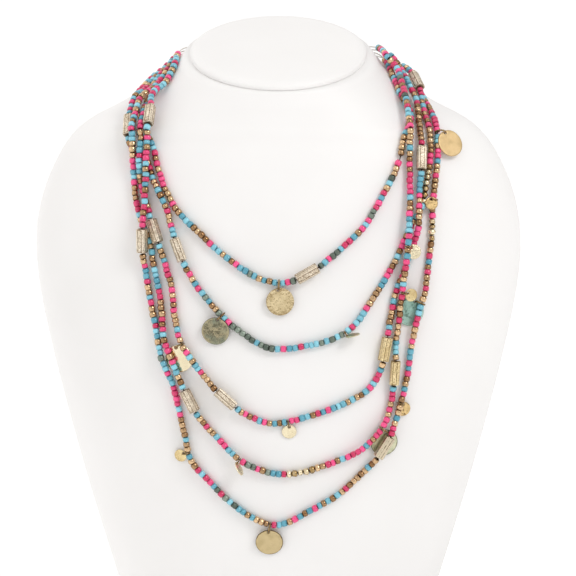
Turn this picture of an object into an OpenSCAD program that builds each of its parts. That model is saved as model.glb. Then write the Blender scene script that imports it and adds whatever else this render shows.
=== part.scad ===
// Multi strand necklace of seed beads, metal tubes and coins on a plain neck bust.
// Millimetres, Z up, the viewer stands on the -Y side, the base of the bust is on z = 0.
// The bust is one smooth shape. Every strand is laid on it: a route of round numbers is
// smoothed, then each sample is moved along the surface normal to its own height.

/* [Bust] */
// Width across the shoulders
bust_width = 301; // [260:1:340]
// Depth from chest to back
bust_depth = 133; // [110:1:160]
// Height of the neck top on the centre line
bust_height = 391; // [340:1:440]
// Tilt of the neck top, higher at the back, degrees
cap_tilt = 19.3; // [10:0.1:30]
// Width of the oval neck cap
cap_width = 108.8; // [90:0.2:130]
// Thickness of the neck cap
cap_thickness = 5; // [3:0.5:10]

/* [Strands] */
// Diameter of a seed bead
bead_dia = 4; // [3:0.1:5]
// Diameter of the thread
thread_dia = 0.7; // [0.4:0.1:1.2]
// Air left between a bead and what it lies on
seat_gap = 0.3; // [0.2:0.05:0.6]
// Rise of a strand that lies on another strand
layer_rise = 4.2; // [4:0.1:5]

/* [Metal beads] */
// Length of a metal tube bead
tube_length = 14.2; // [10:0.1:18]
// Width of a metal tube bead
tube_width = 5.8; // [4.5:0.1:7]
// Bevel on the four long corners
tube_bevel = 1.2; // [0.5:0.1:2]
// Bore of a metal tube bead
tube_bore = 2; // [1.2:0.1:2.6]

/* [Coins and discs] */
// Diameter of a large coin
coin_dia = 16.6; // [14:0.1:20]
// Thickness of a large coin
coin_thickness = 0.9; // [0.6:0.1:1.5]
// Diameter of a disc
disc_dia = 8.8; // [8:0.1:11]
// Diameter of a disc of the lesser size
small_disc_dia = 7.7; // [6.5:0.1:9]
// Thickness of a small disc
disc_thickness = 0.7; // [0.4:0.1:1.2]
// Hole in a coin or a disc
hang_hole = 1.8; // [1.4:0.1:2.2]
// Distance from the hole centre to the rim
hole_inset = 1.2; // [1.2:0.1:2]

/* [Jump rings and clasp] */
// Outside diameter of a coin's jump ring
coin_ring_dia = 7; // [6:0.1:9]
// Outside diameter of a disc's jump ring
disc_ring_dia = 5.2; // [4.8:0.1:6]
// Wire of a coin's jump ring
coin_ring_wire = 1; // [0.7:0.1:1.3]
// Wire of a disc's jump ring
disc_ring_wire = 0.7; // [0.5:0.1:1]
// Length of the clasp bar at the nape
clasp_length = 10; // [6:0.5:14]
// Height of the clasp and end bars
bar_height = 11.4; // [11:0.2:14]
// Thickness of the clasp and end bars
bar_thickness = 2.2; // [2:0.1:3]
// Bore for a thread in the bars
bar_bore = 1.5; // [1.2:0.1:1.6]

/* [Hidden] */
$fn = 48;

// Sections of the bust, each row from the base up, as shares of the named sizes:
// height, half width, centre of depth, reach to the front, reach to the back
SECTION = [
    [0.000, 0.565, 0.000, 0.451, 0.391],
    [0.153, 0.678, 0.000, 0.496, 0.414],
    [0.332, 0.811, 0.000, 0.534, 0.436],
    [0.512, 0.927, 0.000, 0.541, 0.459],
    [0.639, 0.990, 0.000, 0.511, 0.466],
    [0.716, 1.000, 0.008, 0.481, 0.459],
    [0.780, 0.973, 0.015, 0.451, 0.444],
    [0.839, 0.910, 0.026, 0.421, 0.429],
    [0.877, 0.844, 0.038, 0.402, 0.417],
    [0.900, 0.771, 0.041, 0.395, 0.410],
    [0.918, 0.664, 0.045, 0.391, 0.402],
    [0.939, 0.565, 0.049, 0.390, 0.398],
    [0.964, 0.472, 0.049, 0.389, 0.395],
    [0.995, 0.395, 0.053, 0.387, 0.389],
    [1.023, 0.355, 0.053, 0.385, 0.387],
    [1.100, 0.355, 0.053, 0.385, 0.387]];
// Columns of SECTION
HALF = 1;
CENTRE = 2;
FRONT = 3;
BACK = 4;
neck_y = 7;
// Between these two levels the sections turn from level to tilted
turn_low = 330;
turn_high = 385;
bust_cols = 48;

// Height of a thread that runs bare, as a lift
BARE = -0.05;

// Routes: x, y, z and lift in layers, from the nape round the viewer's left and back
ROUTE_1 = [
    [0, 61, 381, BARE], [-22, 58, 381, BARE], [-40, 48, 381, BARE], [-51, 39, 382, BARE],
    [-64.5, 29, 381, BARE], [-74, 18, 375, 0], [-80, 10, 370, 0], [-85, 4, 367.5, 0],
    [-88, -4, 364.5, 0], [-87, -14, 360, 0], [-82.5, -27, 354, 0], [-79.5, -35, 348, 0],
    [-77, -39, 343.5, 0], [-75, -41.5, 339, 0], [-73.5, -44, 334, 0], [-72, -46.5, 328, 0],
    [-69.5, -49.5, 320, 0], [-66.5, -52, 313, 0], [-62, -55, 305, 0], [-56, -57.5, 298, 0],
    [-48.5, -60, 291.5, 0], [-39.5, -62.5, 283, 0], [-30, -65, 275.5, 0], [-19.5, -67, 268, 0],
    [-10.5, -68, 263.5, 0], [-2, -68.5, 261.5, 0.1], [6, -68.5, 261.5, 0],
    [17.5, -67.5, 265.5, 0.2], [27, -65.5, 272.5, 0], [39, -63, 282, 0], [50, -59.5, 292, 0],
    [57.5, -56, 303, 0], [65, -51.5, 316, 0], [70, -48, 325, 0], [73, -44.5, 333, 0],
    [74.5, -41.5, 340, 0], [76, -38, 346, 0], [79, -32, 352, 0], [80, -26, 356.5, 0],
    [78.5, -20, 361, 0], [75, -13, 367, 0], [70.5, -2, 374, 0], [65.5, 8, 378, 0],
    [60, 18, 382, 0], [49.5, 38, 385.5, BARE], [37, 50, 384.5, BARE - 0.2],
    [20, 59, 382.5, BARE - 0.2]];
ROUTE_2 = [
    [0, 61, 383, BARE], [-22, 58, 383, BARE], [-40, 48, 383, BARE], [-50.5, 39, 384, BARE],
    [-62, 28, 383, BARE], [-70.2, 17, 378, 0], [-76, 9, 374, 0], [-79.8, 3, 371, 0],
    [-82.5, -3, 367.5, 0.3], [-84, -9.5, 361.5, 0.8], [-87, -17, 356.5, 0.5],
    [-89, -25, 352.5, 0.3], [-89.5, -31.5, 347.5, 0.15], [-89.3, -35.5, 342, 0],
    [-86.5, -39, 336.5, 0], [-80, -42.5, 332.5, 0], [-77, -45.5, 327, 0],
    [-74, -48.5, 319, 0.3], [-69.5, -52, 311, 0.6], [-66, -54.5, 303, 0.4],
    [-64.5, -56.5, 296, 0], [-62.5, -57.5, 290.5, 0], [-60.5, -60, 280, 0.2],
    [-56.5, -62, 272.5, 0], [-49, -65.5, 259.5, 0], [-40.5, -68, 249, 0], [-30, -70, 238, 0],
    [-19.5, -72, 230, 0], [-8.5, -73, 223.5, 0], [3, -73, 222, 0], [15, -72.5, 223.5, 0],
    [31, -71, 227, 0.1], [44.5, -68.5, 235, 0.3], [54, -66, 247, 0], [62, -63, 259.5, 0],
    [70, -59.5, 272.5, 0], [76, -56, 286, 0], [81, -52.5, 295.5, 0], [86.3, -49, 305, 0],
    [88.5, -45.5, 315.5, 0], [90.5, -41.5, 326.5, 0], [92, -36, 339, 0], [91, -29.5, 350, 0],
    [88, -15, 360, 0], [84.8, -4, 366, 0.6], [80, 7, 368.5, 1], [73, 14, 373, 0.9],
    [66, 21, 378.5, 0.4], [51.5, 38, 383.5, BARE], [38, 49.5, 383.5, BARE], [20, 59, 384, BARE]];
ROUTE_3 = [
    [0, 61, 385, BARE], [-22, 58, 385, BARE], [-40, 48, 385, BARE], [-50, 39, 386, BARE],
    [-59.5, 28, 385, BARE], [-66.2, 17, 382, 0], [-71, 9, 378.5, 0], [-75, 3, 375, 0],
    [-78, -3, 371, 0], [-79.5, -10, 366, 0], [-79.5, -17, 361.5, 0.1],
    [-79.3, -24, 355, 0.8], [-79.8, -30, 349, 1], [-80.3, -36, 342, 1], [-81.2, -39.5, 335, 1],
    [-82, -43.5, 328, 0.8], [-82.2, -46, 320, 0.1], [-80.8, -48.5, 313, 0],
    [-78.5, -51, 306, 0], [-76, -53.5, 298, 0], [-73, -55.5, 291, 0.2], [-70, -58, 279.5, 0],
    [-66.5, -61, 268, 0], [-63.5, -63, 257, 0], [-62.5, -64.5, 246, 0],
    [-61, -65.5, 236.5, 0.1], [-57.5, -67, 225, 0.66], [-50.5, -69, 214, 0.66],
    [-41, -71, 201.5, 0.1], [-31.5, -72.5, 192, 0.2], [-19.5, -74, 182.5, 0],
    [-5.5, -74.5, 177, 0], [8, -74.5, 178.5, 0], [20, -74, 181.5, 0], [40, -71.5, 188.5, 0],
    [53.5, -69, 196, 0], [60.5, -67, 206.5, 0], [63.5, -66, 221, 0.2], [67, -64, 238.5, 0],
    [70.5, -62, 254.5, 0], [75.5, -58.5, 267, 0], [80, -55, 280, 0], [82.5, -52.5, 291, 0.9],
    [83, -50.5, 301, 1], [84.5, -47, 315.5, 0.2], [85.5, -41, 332.5, 0.2],
    [85.5, -32.5, 350, 0], [82.5, -13, 361, 0.5], [76.3, -1.5, 370, 0.9], [71.3, 8, 374, 0.9],
    [67, 13, 378.5, 1], [61.5, 17, 383.5, 1], [49.5, 38, 387.5, BARE], [37, 50, 387, BARE],
    [20, 59, 385.5, BARE]];
ROUTE_4 = [
    [0, 61, 387, BARE], [-22, 58, 387, BARE], [-40, 48, 387, BARE], [-49.5, 39, 388, BARE],
    [-57, 27, 387, BARE], [-62.5, 15, 384, 0], [-66.5, 7, 381.5, 0], [-71, 1, 378.5, 0],
    [-74.5, -5, 373, 0.2], [-76.5, -10, 366, 0.8], [-79.5, -14, 359.5, 1.2],
    [-81.7, -20, 355.5, 1.3], [-83.7, -27, 350, 1.3], [-84.7, -34, 342.5, 1.35],
    [-85.5, -38.5, 334.5, 1], [-86.3, -43, 325, 0.2], [-86, -46.5, 315.5, 0],
    [-84.5, -49.5, 305, 0], [-80.5, -53, 293, 0], [-76.5, -56.5, 282, 0], [-74, -59, 268, 0],
    [-71, -61.5, 255, 0], [-69.5, -63, 242.5, 0], [-67.5, -64.5, 227, 0.6],
    [-62.5, -66.5, 213.5, 0.85], [-56.5, -68, 198, 0.2], [-53, -69, 190, 0.2],
    [-45.5, -70, 177.5, 0], [-34.5, -72, 165.5, 0], [-22.5, -73, 154.5, 0.5],
    [-5.5, -74, 146.5, 0], [10.5, -73.5, 146, 0], [31, -72, 151.5, 0], [48.5, -69, 159.5, 0.55],
    [61.5, -66, 173, 0.8], [67, -65, 185, 0.2], [69, -65, 198, 0], [70, -64.5, 206.5, 0.2],
    [70, -64, 220.5, 0], [71.5, -62.5, 238, 0.5], [73.5, -60.5, 259, 1], [75, -58, 272, 1.45],
    [76.5, -55, 288, 1.4], [78, -50.5, 306, 0.6], [78.5, -44.5, 329, 0.3],
    [77.3, -37, 343, 0.9], [75.3, -24, 355.5, 1], [71.7, -8, 368.5, 1], [68, 4, 375.5, 1],
    [63.5, 7, 380.5, 1], [58.5, 9, 385.5, 0.9], [48, 38, 389.5, BARE], [36, 50, 389, BARE],
    [20, 59, 387.5, BARE]];
ROUTE_5 = [
    [0, 61, 389, BARE], [-22, 58, 389, BARE], [-40, 48, 389, BARE], [-49, 39, 390, BARE],
    [-54.5, 26, 389.5, BARE], [-58.5, 14, 386.5, 0], [-62, 4, 385, 0], [-66.5, -3, 381, 0],
    [-69.5, -9, 374, 0.1], [-72, -13, 367.5, 0.5], [-73.3, -18, 362, 0.8],
    [-73.5, -25, 355.5, 0.9], [-74.6, -32, 349, 1], [-76.2, -37, 342, 1], [-77.2, -42, 331, 1.06],
    [-77.7, -47, 316, 1.06], [-78.7, -51.5, 300, 1.15], [-79.7, -54, 288, 1.1], [-80.3, -56, 278, 0.5],
    [-79.2, -58, 267, 0], [-77, -60.5, 252, 0], [-73, -63, 232.5, 0.1], [-69, -65, 215, 0.7],
    [-63, -66.5, 199.5, 0.1], [-60, -67, 186, 0], [-56, -67.5, 169, 0.15], [-52, -68, 152, 0.15],
    [-41.5, -69.5, 140, 0], [-29, -71, 127.5, 0], [-12, -72.5, 116, 0], [2.5, -72.5, 114, 0],
    [17.5, -72, 121.5, 0], [35, -70.5, 131, 0], [52.5, -67.5, 146.5, 0], [59.5, -66, 156, 0.6],
    [64, -65, 163, 0.8], [68, -64.5, 171.5, 0.6], [73, -63.5, 187, 0.5], [77.5, -62, 203.5, 0],
    [79.5, -61.5, 221, 0.25], [83, -59.5, 241, 0.75], [87, -57.5, 253, 0.6],
    [90, -54.5, 269.5, 0], [92, -51.5, 284, 0], [92.5, -47, 305, 0.1], [94.5, -42.5, 319, 0],
    [96, -37, 332.5, 0], [96, -28, 348.5, 0], [93, -14, 359, 0], [89.5, -2.5, 364.5, 0],
    [85, 8, 367, 0], [78.5, 18, 371, 0], [71, 26, 375.5, 0], [55, 38, 381, BARE],
    [41, 48.5, 383, BARE + 0.2], [29, 55.5, 386.5, BARE + 0.28],
    [17, 59.5, 388.5, BARE + 0.15]];
ROUTES = [[], ROUTE_1, ROUTE_2, ROUTE_3, ROUTE_4, ROUTE_5];

// Metal tube beads: strand, x, z, roll about the strand in degrees
TUBES = [
    [1, 18, 266, 20], [2, -90, 352, 10], [2, -60, 280, -15], [2, 80, 373, 15],
    [3, -73, 291, 25], [3, -31, 192, -20], [3, 64, 221, 10], [3, 86, 333, -10],
    [4, -53, 190, 20], [4, 70, 206, -20], [5, -75, 358, 0], [5, -80, 285, 15],
    [5, 63, 161.5, 0]];
// Coins: strand, x, z, side of the strand, then angles in degrees: how far the ring and the
// hole rise from the surface, swing of the coin to the viewer's right, its lean back, its turn
COINS = [
    [1, 0.6, 262, 1, 48, 0, 9, 10, 0], [2, -34, 241, 1, 80, 4, -10, 12, 0],
    [5, -5, 114, 1, 48, 0, 4, 10, 0], [3, -57.5, 224.5, 1, -28, -28, 13, 7, 0],
    [5, 96, 346, 1, 60, 10, 17, 12, 0], [5, 86, 247.5, -1, -75, -20, -25, 6.5, 0],
    [4, 62, 173, 1, -28, -28, -8, 7, 0]];
// Discs: the same columns, then 1 for a disc of the lesser size
DISCS = [
    [3, 6, 178, 1, 25, -20, 0, 12, 0, 0], [5, -55, 157, 1, 0, -25, -52, 9, 0, 1],
    [4, -23, 155, 1, 10, 58, 28, 0, -84, 0], [4, 74, 254.5, 1, 10, -20, 62, 8, 0, 1],
    [4, 78, 282, 1, -58, -36, 30, 0, 0, 0], [5, 92, 308, -1, 90, 22, 0, 0, 7, 1],
    [5, 73, 187, 1, -65, -30, 8, 6, 0, 0], [2, 40, 231, 1, 10, 64, 102, 0, -86, 0]];
// Features along each strand in travel order: kind and index into the lists above
TUBE = 0;
COIN = 1;
DISC = 2;
ORDER = [[],
    [[COIN, 0], [TUBE, 0]],
    [[TUBE, 1], [TUBE, 2], [COIN, 1], [DISC, 7], [TUBE, 3]],
    [[TUBE, 4], [COIN, 3], [TUBE, 5], [DISC, 0], [TUBE, 6], [TUBE, 7]],
    [[TUBE, 8], [DISC, 2], [COIN, 6], [TUBE, 9], [DISC, 3], [DISC, 4]],
    [[TUBE, 10], [TUBE, 11], [DISC, 1], [COIN, 2], [TUBE, 12], [DISC, 6], [COIN, 5],
     [DISC, 5], [COIN, 4]]];
// Depth behind the neck centre at which the beads give way to bare thread
beads_end_y = 16;
// Depth behind the neck centre of the two end bars, and their length along the threads
end_bar_y = 39;
end_bar_length = 2.4;
// Rolled rim of the cap: distance in from the edge, height as a share of the thickness
CAP_RIM = [[1, 0], [0.3, 0.08], [0, 0.24], [0.2, 0.5], [1.2, 0.72], [3, 0.88], [7, 1]];
// Rise of the cap's middle over its rim
cap_dome = 0.8;

GOLD = [0.78, 0.70, 0.50];
PALE_GOLD = [0.86, 0.80, 0.62];
WHITE = [0.95, 0.94, 0.92];
PINK = [0.86, 0.20, 0.45];

// Bust shape
function row(i) = SECTION[min(max(i, 0), len(SECTION) - 1)];
function row_slope(i, c) = (row(i + 1)[c] - row(i - 1)[c]) / (row(i + 1)[0] - row(i - 1)[0]);
function row_at(s, i = 0) = (i >= len(SECTION) - 2 || s < SECTION[i + 1][0]) ? i : row_at(s, i + 1);
function share(s, c) =
    let (i = row_at(s), a = row(i), b = row(i + 1), h = b[0] - a[0], u = (s - a[0]) / h)
    (2 * u * u * u - 3 * u * u + 1) * a[c] + (u * u * u - 2 * u * u + u) * h * row_slope(i, c)
    + (3 * u * u - 2 * u * u * u) * b[c] + (u * u * u - u * u) * h * row_slope(i + 1, c);
LEVELS = [for (t = [0 : 2 : 430]) t];
function table(c, size) = [for (t = LEVELS) [t, share(t / bust_height, c) * size]];
HALF_AT = table(HALF, bust_width / 2);
CENTRE_AT = table(CENTRE, bust_depth);
FRONT_AT = table(FRONT, bust_depth);
BACK_AT = table(BACK, bust_depth);
function ease(u) = let (v = min(max(u, 0), 1)) v * v * (3 - 2 * v);
function turned(z) = ease((z - turn_low) / (turn_high - turn_low)) * tan(cap_tilt);
function level_of(y, z) = z - turned(z) * (y - neck_y);
function shape(x, y, t) =
    let (a = lookup(t, HALF_AT), c = lookup(t, CENTRE_AT))
    let (d = y < c ? lookup(t, FRONT_AT) : lookup(t, BACK_AT))
    sqrt(x * x / (a * a) + (y - c) * (y - c) / (d * d)) - 1;
function outside(p) = shape(p.x, p.y, level_of(p.y, p.z));
function slope_of(p, e = 0.5) = [
    outside(p + [e, 0, 0]) - outside(p - [e, 0, 0]),
    outside(p + [0, e, 0]) - outside(p - [0, e, 0]),
    outside(p + [0, 0, e]) - outside(p - [0, 0, e])] / (2 * e);
function unit(v) = v / norm(v);
function seat(p, h, n = 4) =
    n == 0 ? p : let (g = slope_of(p), m = norm(g)) seat(p + g * ((h - outside(p) / m) / m), h, n - 1);

// Paths of the strands: samples of [place, normal], and the running length at each sample
function curve(a, b, c, d, t) =
    0.5 * (2 * b + (c - a) * t + (2 * a - 5 * b + 4 * c - d) * t * t
    + (3 * b - a - 3 * c + d) * t * t * t);
SAMPLES = 4;
function smooth(r) = let (n = len(r)) [for (i = [0 : n - 1], k = [0 : SAMPLES - 1])
    curve(r[(i + n - 1) % n], r[i], r[(i + 1) % n], r[(i + 2) % n], k / SAMPLES)];
// A strand stands higher beside its metal tubes, which are wider than the beads
tube_rise = 1.16 * tube_width / 2 - bead_dia / 2 + seat_gap;
tube_ramp = 12;
tube_reach = tube_length / 2 + tube_ramp;
function beside_tube(k, q) = max([0, for (f = TUBES) if (f[0] == k)
    ease((tube_reach - norm([q.x - f[1], q.z - f[2]])) / tube_ramp)]) * tube_rise;
function laid(k, q) =
    let (h = bead_dia / 2 + seat_gap + layer_rise * q[3] + beside_tube(k, q))
    let (p = seat([q.x, q.y, q.z], h))
    [p, unit(slope_of(p))];
function path(k) = [for (q = smooth(ROUTES[k])) laid(k, q)];
function running(p) = let (n = len(p))
    [for (i = 0, s = 0; i <= n; s = s + norm(p[(i + 1) % n][0] - p[i % n][0]), i = i + 1) s];
PATHS = [for (k = [0 : 5]) k == 0 ? [] : path(k)];
RUNS = [for (p = PATHS) len(p) == 0 ? [] : running(p)];
function seek(run, s, lo, hi) =
    hi - lo <= 1 ? lo : let (m = floor((lo + hi) / 2))
    run[m] <= s ? seek(run, s, m, hi) : seek(run, s, lo, m);
function total(k) = RUNS[k][len(RUNS[k]) - 1];
function wrap(k, s) = s < 0 ? s + total(k) : (s >= total(k) ? s - total(k) : s);
function place(k, s0) =
    let (s = wrap(k, s0), run = RUNS[k], n = len(PATHS[k]), i = seek(run, s, 0, n))
    let (u = (s - run[i]) / (run[i + 1] - run[i]), a = PATHS[k][i % n], b = PATHS[k][(i + 1) % n])
    [a[0] * (1 - u) + b[0] * u, unit(a[1] * (1 - u) + b[1] * u)];
function tangent(k, s) = unit(place(k, s + 1)[0] - place(k, s - 1)[0]);
function least(v) = search(min(v), v)[0];
function miss(q, x, z) = (q.x - x) * (q.x - x) + (q.z - z) * (q.z - z) + (q.y > 30 ? 9999 : 0);
// Station of the place on strand k nearest to x, z on the front
function station(k, x, z) =
    let (p = PATHS[k], i = least([for (q = p) miss(q[0], x, z)]), s = RUNS[k][i])
    let (near = [for (d = [-4 : 0.25 : 4]) s + d])
    near[least([for (t = near) miss(place(k, t)[0], x, z)])];
TUBE_AT = [for (f = TUBES) station(f[0], f[1], f[2])];
COIN_AT = [for (f = COINS) station(f[0], f[1], f[2])];
DISC_AT = [for (f = DISCS) station(f[0], f[1], f[2])];

// Strand tubes, narrowed to the thread at every metal bead and jump ring
tube_end_gap = 0.9;
ring_end_gap = 0.4;
function feature_at(f) = f[0] == TUBE ? TUBE_AT[f[1]] : (f[0] == COIN ? COIN_AT[f[1]] : DISC_AT[f[1]]);
function half_gap(f) =
    f[0] == TUBE ? tube_length / 2 + tube_end_gap
    : (f[0] == COIN ? coin_ring_wire : disc_ring_wire) / 2 + ring_end_gap;
// Last station behind depth y on the left, and the first one on the right
function back_left(k, y) = let (p = PATHS[k])
    max([for (i = [0 : len(p) / 2]) if (p[i][0].y > y) RUNS[k][i]]);
function back_right(k, y) = let (p = PATHS[k], n = len(p))
    min([for (i = [n / 2 : n - 1]) if (p[i][0].y > y) RUNS[k][i]]);
// First and last station with beads
function left_end(k) = back_left(k, beads_end_y);
function right_end(k) = back_right(k, beads_end_y);
// Rings of a strand stand closer together above the shoulder, where it bends more
shoulder_z = 335;
close_step = 6;
wide_step = 13;
function ring_step(k, s) = place(k, s)[0].z > shoulder_z ? close_step : wide_step;
function walk(k, a, b, r) = [for (s = a; s < b - 3; s = s + ring_step(k, s)) [s, r]];
function beaded(k, a, b) = concat(walk(k, a, b, bead_dia / 2), [[b, bead_dia / 2]]);
function necked(f) = let (s = feature_at(f), h = half_gap(f), r = thread_dia / 2)
    [[s - h, r], [s + h, r]];
function stations(k) = let (o = ORDER[k], n = len(o), e = 0.3)
    concat(walk(k, 0, left_end(k), thread_dia / 2), [[left_end(k), thread_dia / 2]],
        beaded(k, left_end(k) + e, feature_at(o[0]) - half_gap(o[0]) - e), necked(o[0]),
        [for (i = [1 : 1 : n - 1]) each concat(
            beaded(k, feature_at(o[i - 1]) + half_gap(o[i - 1]) + e, feature_at(o[i]) - half_gap(o[i]) - e),
            necked(o[i]))],
        beaded(k, feature_at(o[n - 1]) + half_gap(o[n - 1]) + e, right_end(k) - e),
        [[right_end(k), thread_dia / 2]],
        walk(k, right_end(k) + close_step, total(k), thread_dia / 2));
sides = 8;
module strand(k) {
    st = stations(k);
    n = len(st);
    rings = [for (q = st)
        let (f = place(k, q[0]), t = tangent(k, q[0]), b = unit(cross(t, f[1])), m = cross(b, t))
        for (j = [0 : sides - 1])
            f[0] + q[1] * (cos(j * 360 / sides) * m + sin(j * 360 / sides) * b)];
    faces = [for (i = [0 : n - 1], j = [0 : sides - 1])
        let (a = i * sides, c = ((i + 1) % n) * sides, j2 = (j + 1) % sides)
        each [[a + j, c + j2, c + j], [a + j, a + j2, c + j2]]];
    polyhedron(points = rings, faces = faces, convexity = 8);
}

// Places a child whose X, Y and Z axes turn to u, v and w at point p
module stand(p, u, v, w) {
    multmatrix([[u.x, v.x, w.x, p.x], [u.y, v.y, w.y, p.y], [u.z, v.z, w.z, p.z]]) children();
}

module tube_bead(i) {
    k = TUBES[i][0];
    n = place(k, TUBE_AT[i])[1];
    start = place(k, TUBE_AT[i] - half_gap([TUBE]))[0];
    end = place(k, TUBE_AT[i] + half_gap([TUBE]))[0];
    t = unit(end - start);
    b = unit(cross(t, n));
    h = tube_width / 2;
    c = h - tube_bevel;
    stand((start + end) / 2, cross(b, t), b, t) rotate([0, 0, TUBES[i][3]]) difference() {
        linear_extrude(tube_length, center = true)
            polygon([[h, -c], [h, c], [c, h], [-c, h], [-h, c], [-h, -c], [-c, -h], [c, -h]]);
        cylinder(d = tube_bore, h = tube_length + 2, center = true);
    }
}

// Hanging parts: a ring stands across its strand, and its coin or disc hangs on the ring's side
ring_play = 0.15;
function hang(q, at, ring_r, wire) =
    let (f = place(q[0], at), n = f[1], t = tangent(q[0], at), s = unit(cross(t, n)), o = cross(s, t))
    let (b = s * q[3], reach = ring_r - wire / 2 - thread_dia / 2 - ring_play)
    let (c = f[0] + (b * cos(q[4]) + o * sin(q[4])) * reach)
    let (hole = c + (b * cos(q[5]) + o * sin(q[5])) * ring_r)
    let (g = unit([0, 0, -1] + n * n.z), d = g * cos(q[6]) + cross(n, g) * sin(q[6]))
    let (e = d * cos(q[7]) - n * sin(q[7]), m = n * cos(q[7]) + d * sin(q[7]))
    [c, b, o, hole, e, m * cos(q[8]) + cross(e, m) * sin(q[8])];
coin_ring_r = (coin_ring_dia - coin_ring_wire) / 2;
disc_ring_r = (disc_ring_dia - disc_ring_wire) / 2;
function coin_hang(i) = hang(COINS[i], COIN_AT[i], coin_ring_r, coin_ring_wire);
function disc_hang(i) = hang(DISCS[i], DISC_AT[i], disc_ring_r, disc_ring_wire);
module hung_ring(g, ring_r, wire) {
    stand(g[0], g[1], g[2], cross(g[1], g[2]))
        rotate_extrude() translate([ring_r, 0]) circle(d = wire, $fn = 24);
}
module hung_disc(g, dia, thick) {
    centre = g[3] + g[4] * (dia / 2 - hole_inset);
    side = cross(g[4], g[5]);
    stand(centre, side, g[4], g[5]) difference() {
        cylinder(d = dia, h = thick, center = true);
        translate([0, hole_inset - dia / 2, 0]) cylinder(d = hang_hole, h = thick + 1, center = true);
    }
}
module coin(i) hung_disc(coin_hang(i), coin_dia, coin_thickness);
module coin_ring(i) hung_ring(coin_hang(i), coin_ring_r, coin_ring_wire);
module disc(i) hung_disc(disc_hang(i), DISCS[i][9] == 1 ? small_disc_dia : disc_dia, disc_thickness);
module disc_ring(i) hung_ring(disc_hang(i), disc_ring_r, disc_ring_wire);

// A bar across the five bare threads, bored at each thread
LEFT_BAR_AT = [for (k = [0 : 5]) k == 0 ? 0 : back_left(k, end_bar_y)];
RIGHT_BAR_AT = [for (k = [0 : 5]) k == 0 ? 0 : back_right(k, end_bar_y)];
module bar(stations_of, length) {
    f = [for (k = [1 : 5]) place(k, stations_of[k])];
    mid = (f[0][0] + f[1][0] + f[2][0] + f[3][0] + f[4][0]) / 5;
    across = unit(f[4][0] - f[0][0]);
    t = tangent(3, stations_of[3]);
    n = unit(cross(across, t));
    t2 = cross(n, across);
    difference() {
        stand(mid, n, across, t2) cube([bar_thickness, bar_height, length], center = true);
        for (k = [1 : 5]) {
            d = tangent(k, stations_of[k]);
            s = unit(cross(d, n));
            stand(f[k - 1][0], cross(s, d), s, d)
                cylinder(d = bar_bore, h = length + 6, center = true, $fn = 24);
        }
    }
}

// Bust and cap
function up_to(t, y, z, n = 30) = n == 0 ? z : up_to(t, y, t + turned(z) * (y - neck_y), n - 1);
ROWS = concat([for (t = [0 : 30 : 300]) t], [for (t = [312 : 8 : 344]) t],
    [for (t = [349 : 4 : 381]) t], [386, bust_height - seat_gap]);
module bust_shape() {
    n = bust_cols;
    m = len(ROWS);
    points = [for (t = ROWS, j = [0 : n - 1])
        let (a = lookup(t, HALF_AT), c = lookup(t, CENTRE_AT), s = sin(j * 360 / n))
        let (d = s < 0 ? lookup(t, FRONT_AT) : lookup(t, BACK_AT), y = c + d * s)
        [a * cos(j * 360 / n), y, t == ROWS[m - 1] ? t + tan(cap_tilt) * (y - neck_y) : up_to(t, y, t)]];
    wall = [for (i = [0 : m - 2], j = [0 : n - 1])
        let (a = i * n, c = (i + 1) * n, k = (j + 1) % n)
        each [[a + j, c + j, c + k], [a + j, c + k, a + k]]];
    polyhedron(points = points, faces = concat(wall, [[for (j = [0 : n - 1]) j]],
        [[for (j = [n - 1 : -1 : 0]) (m - 1) * n + j]]), convexity = 4);
}
module cap_shape() {
    r = cap_width / 2;
    rim = [for (q = CAP_RIM) [r - q[0], q[1] * cap_thickness]];
    translate([0, neck_y, bust_height]) rotate([cap_tilt, 0, 0])
        rotate_extrude($fn = 96)
            polygon(concat([[0, 0]], rim, [[0, cap_thickness + cap_dome]]));
}

module bust() { color(WHITE) bust_shape(); }
module neck_cap() { color(WHITE) cap_shape(); }
module strand_1() { color(PINK) strand(1); }
module strand_2() { color(PINK) strand(2); }
module strand_3() { color(PINK) strand(3); }
module strand_4() { color(PINK) strand(4); }
module strand_5() { color(PINK) strand(5); }
module tube_1() { color(PALE_GOLD) tube_bead(0); }
module tube_2() { color(PALE_GOLD) tube_bead(1); }
module tube_3() { color(PALE_GOLD) tube_bead(2); }
module tube_4() { color(PALE_GOLD) tube_bead(3); }
module tube_5() { color(PALE_GOLD) tube_bead(4); }
module tube_6() { color(PALE_GOLD) tube_bead(5); }
module tube_7() { color(PALE_GOLD) tube_bead(6); }
module tube_8() { color(PALE_GOLD) tube_bead(7); }
module tube_9() { color(PALE_GOLD) tube_bead(8); }
module tube_10() { color(PALE_GOLD) tube_bead(9); }
module tube_11() { color(PALE_GOLD) tube_bead(10); }
module tube_12() { color(PALE_GOLD) tube_bead(11); }
module tube_13() { color(PALE_GOLD) tube_bead(12); }
module coin_1() { color(GOLD) coin(0); }
module coin_2() { color(GOLD) coin(1); }
module coin_3() { color(GOLD) coin(2); }
module coin_4() { color(GOLD) coin(3); }
module coin_5() { color(GOLD) coin(4); }
module coin_6() { color(GOLD) coin(5); }
module coin_7() { color(GOLD) coin(6); }
module disc_1() { color(GOLD) disc(0); }
module disc_2() { color(GOLD) disc(1); }
module disc_3() { color(GOLD) disc(2); }
module disc_4() { color(GOLD) disc(3); }
module disc_5() { color(GOLD) disc(4); }
module disc_6() { color(GOLD) disc(5); }
module disc_7() { color(GOLD) disc(6); }
module disc_8() { color(GOLD) disc(7); }
module coin_ring_1() { color(GOLD) coin_ring(0); }
module coin_ring_2() { color(GOLD) coin_ring(1); }
module coin_ring_3() { color(GOLD) coin_ring(2); }
module coin_ring_4() { color(GOLD) coin_ring(3); }
module coin_ring_5() { color(GOLD) coin_ring(4); }
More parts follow.
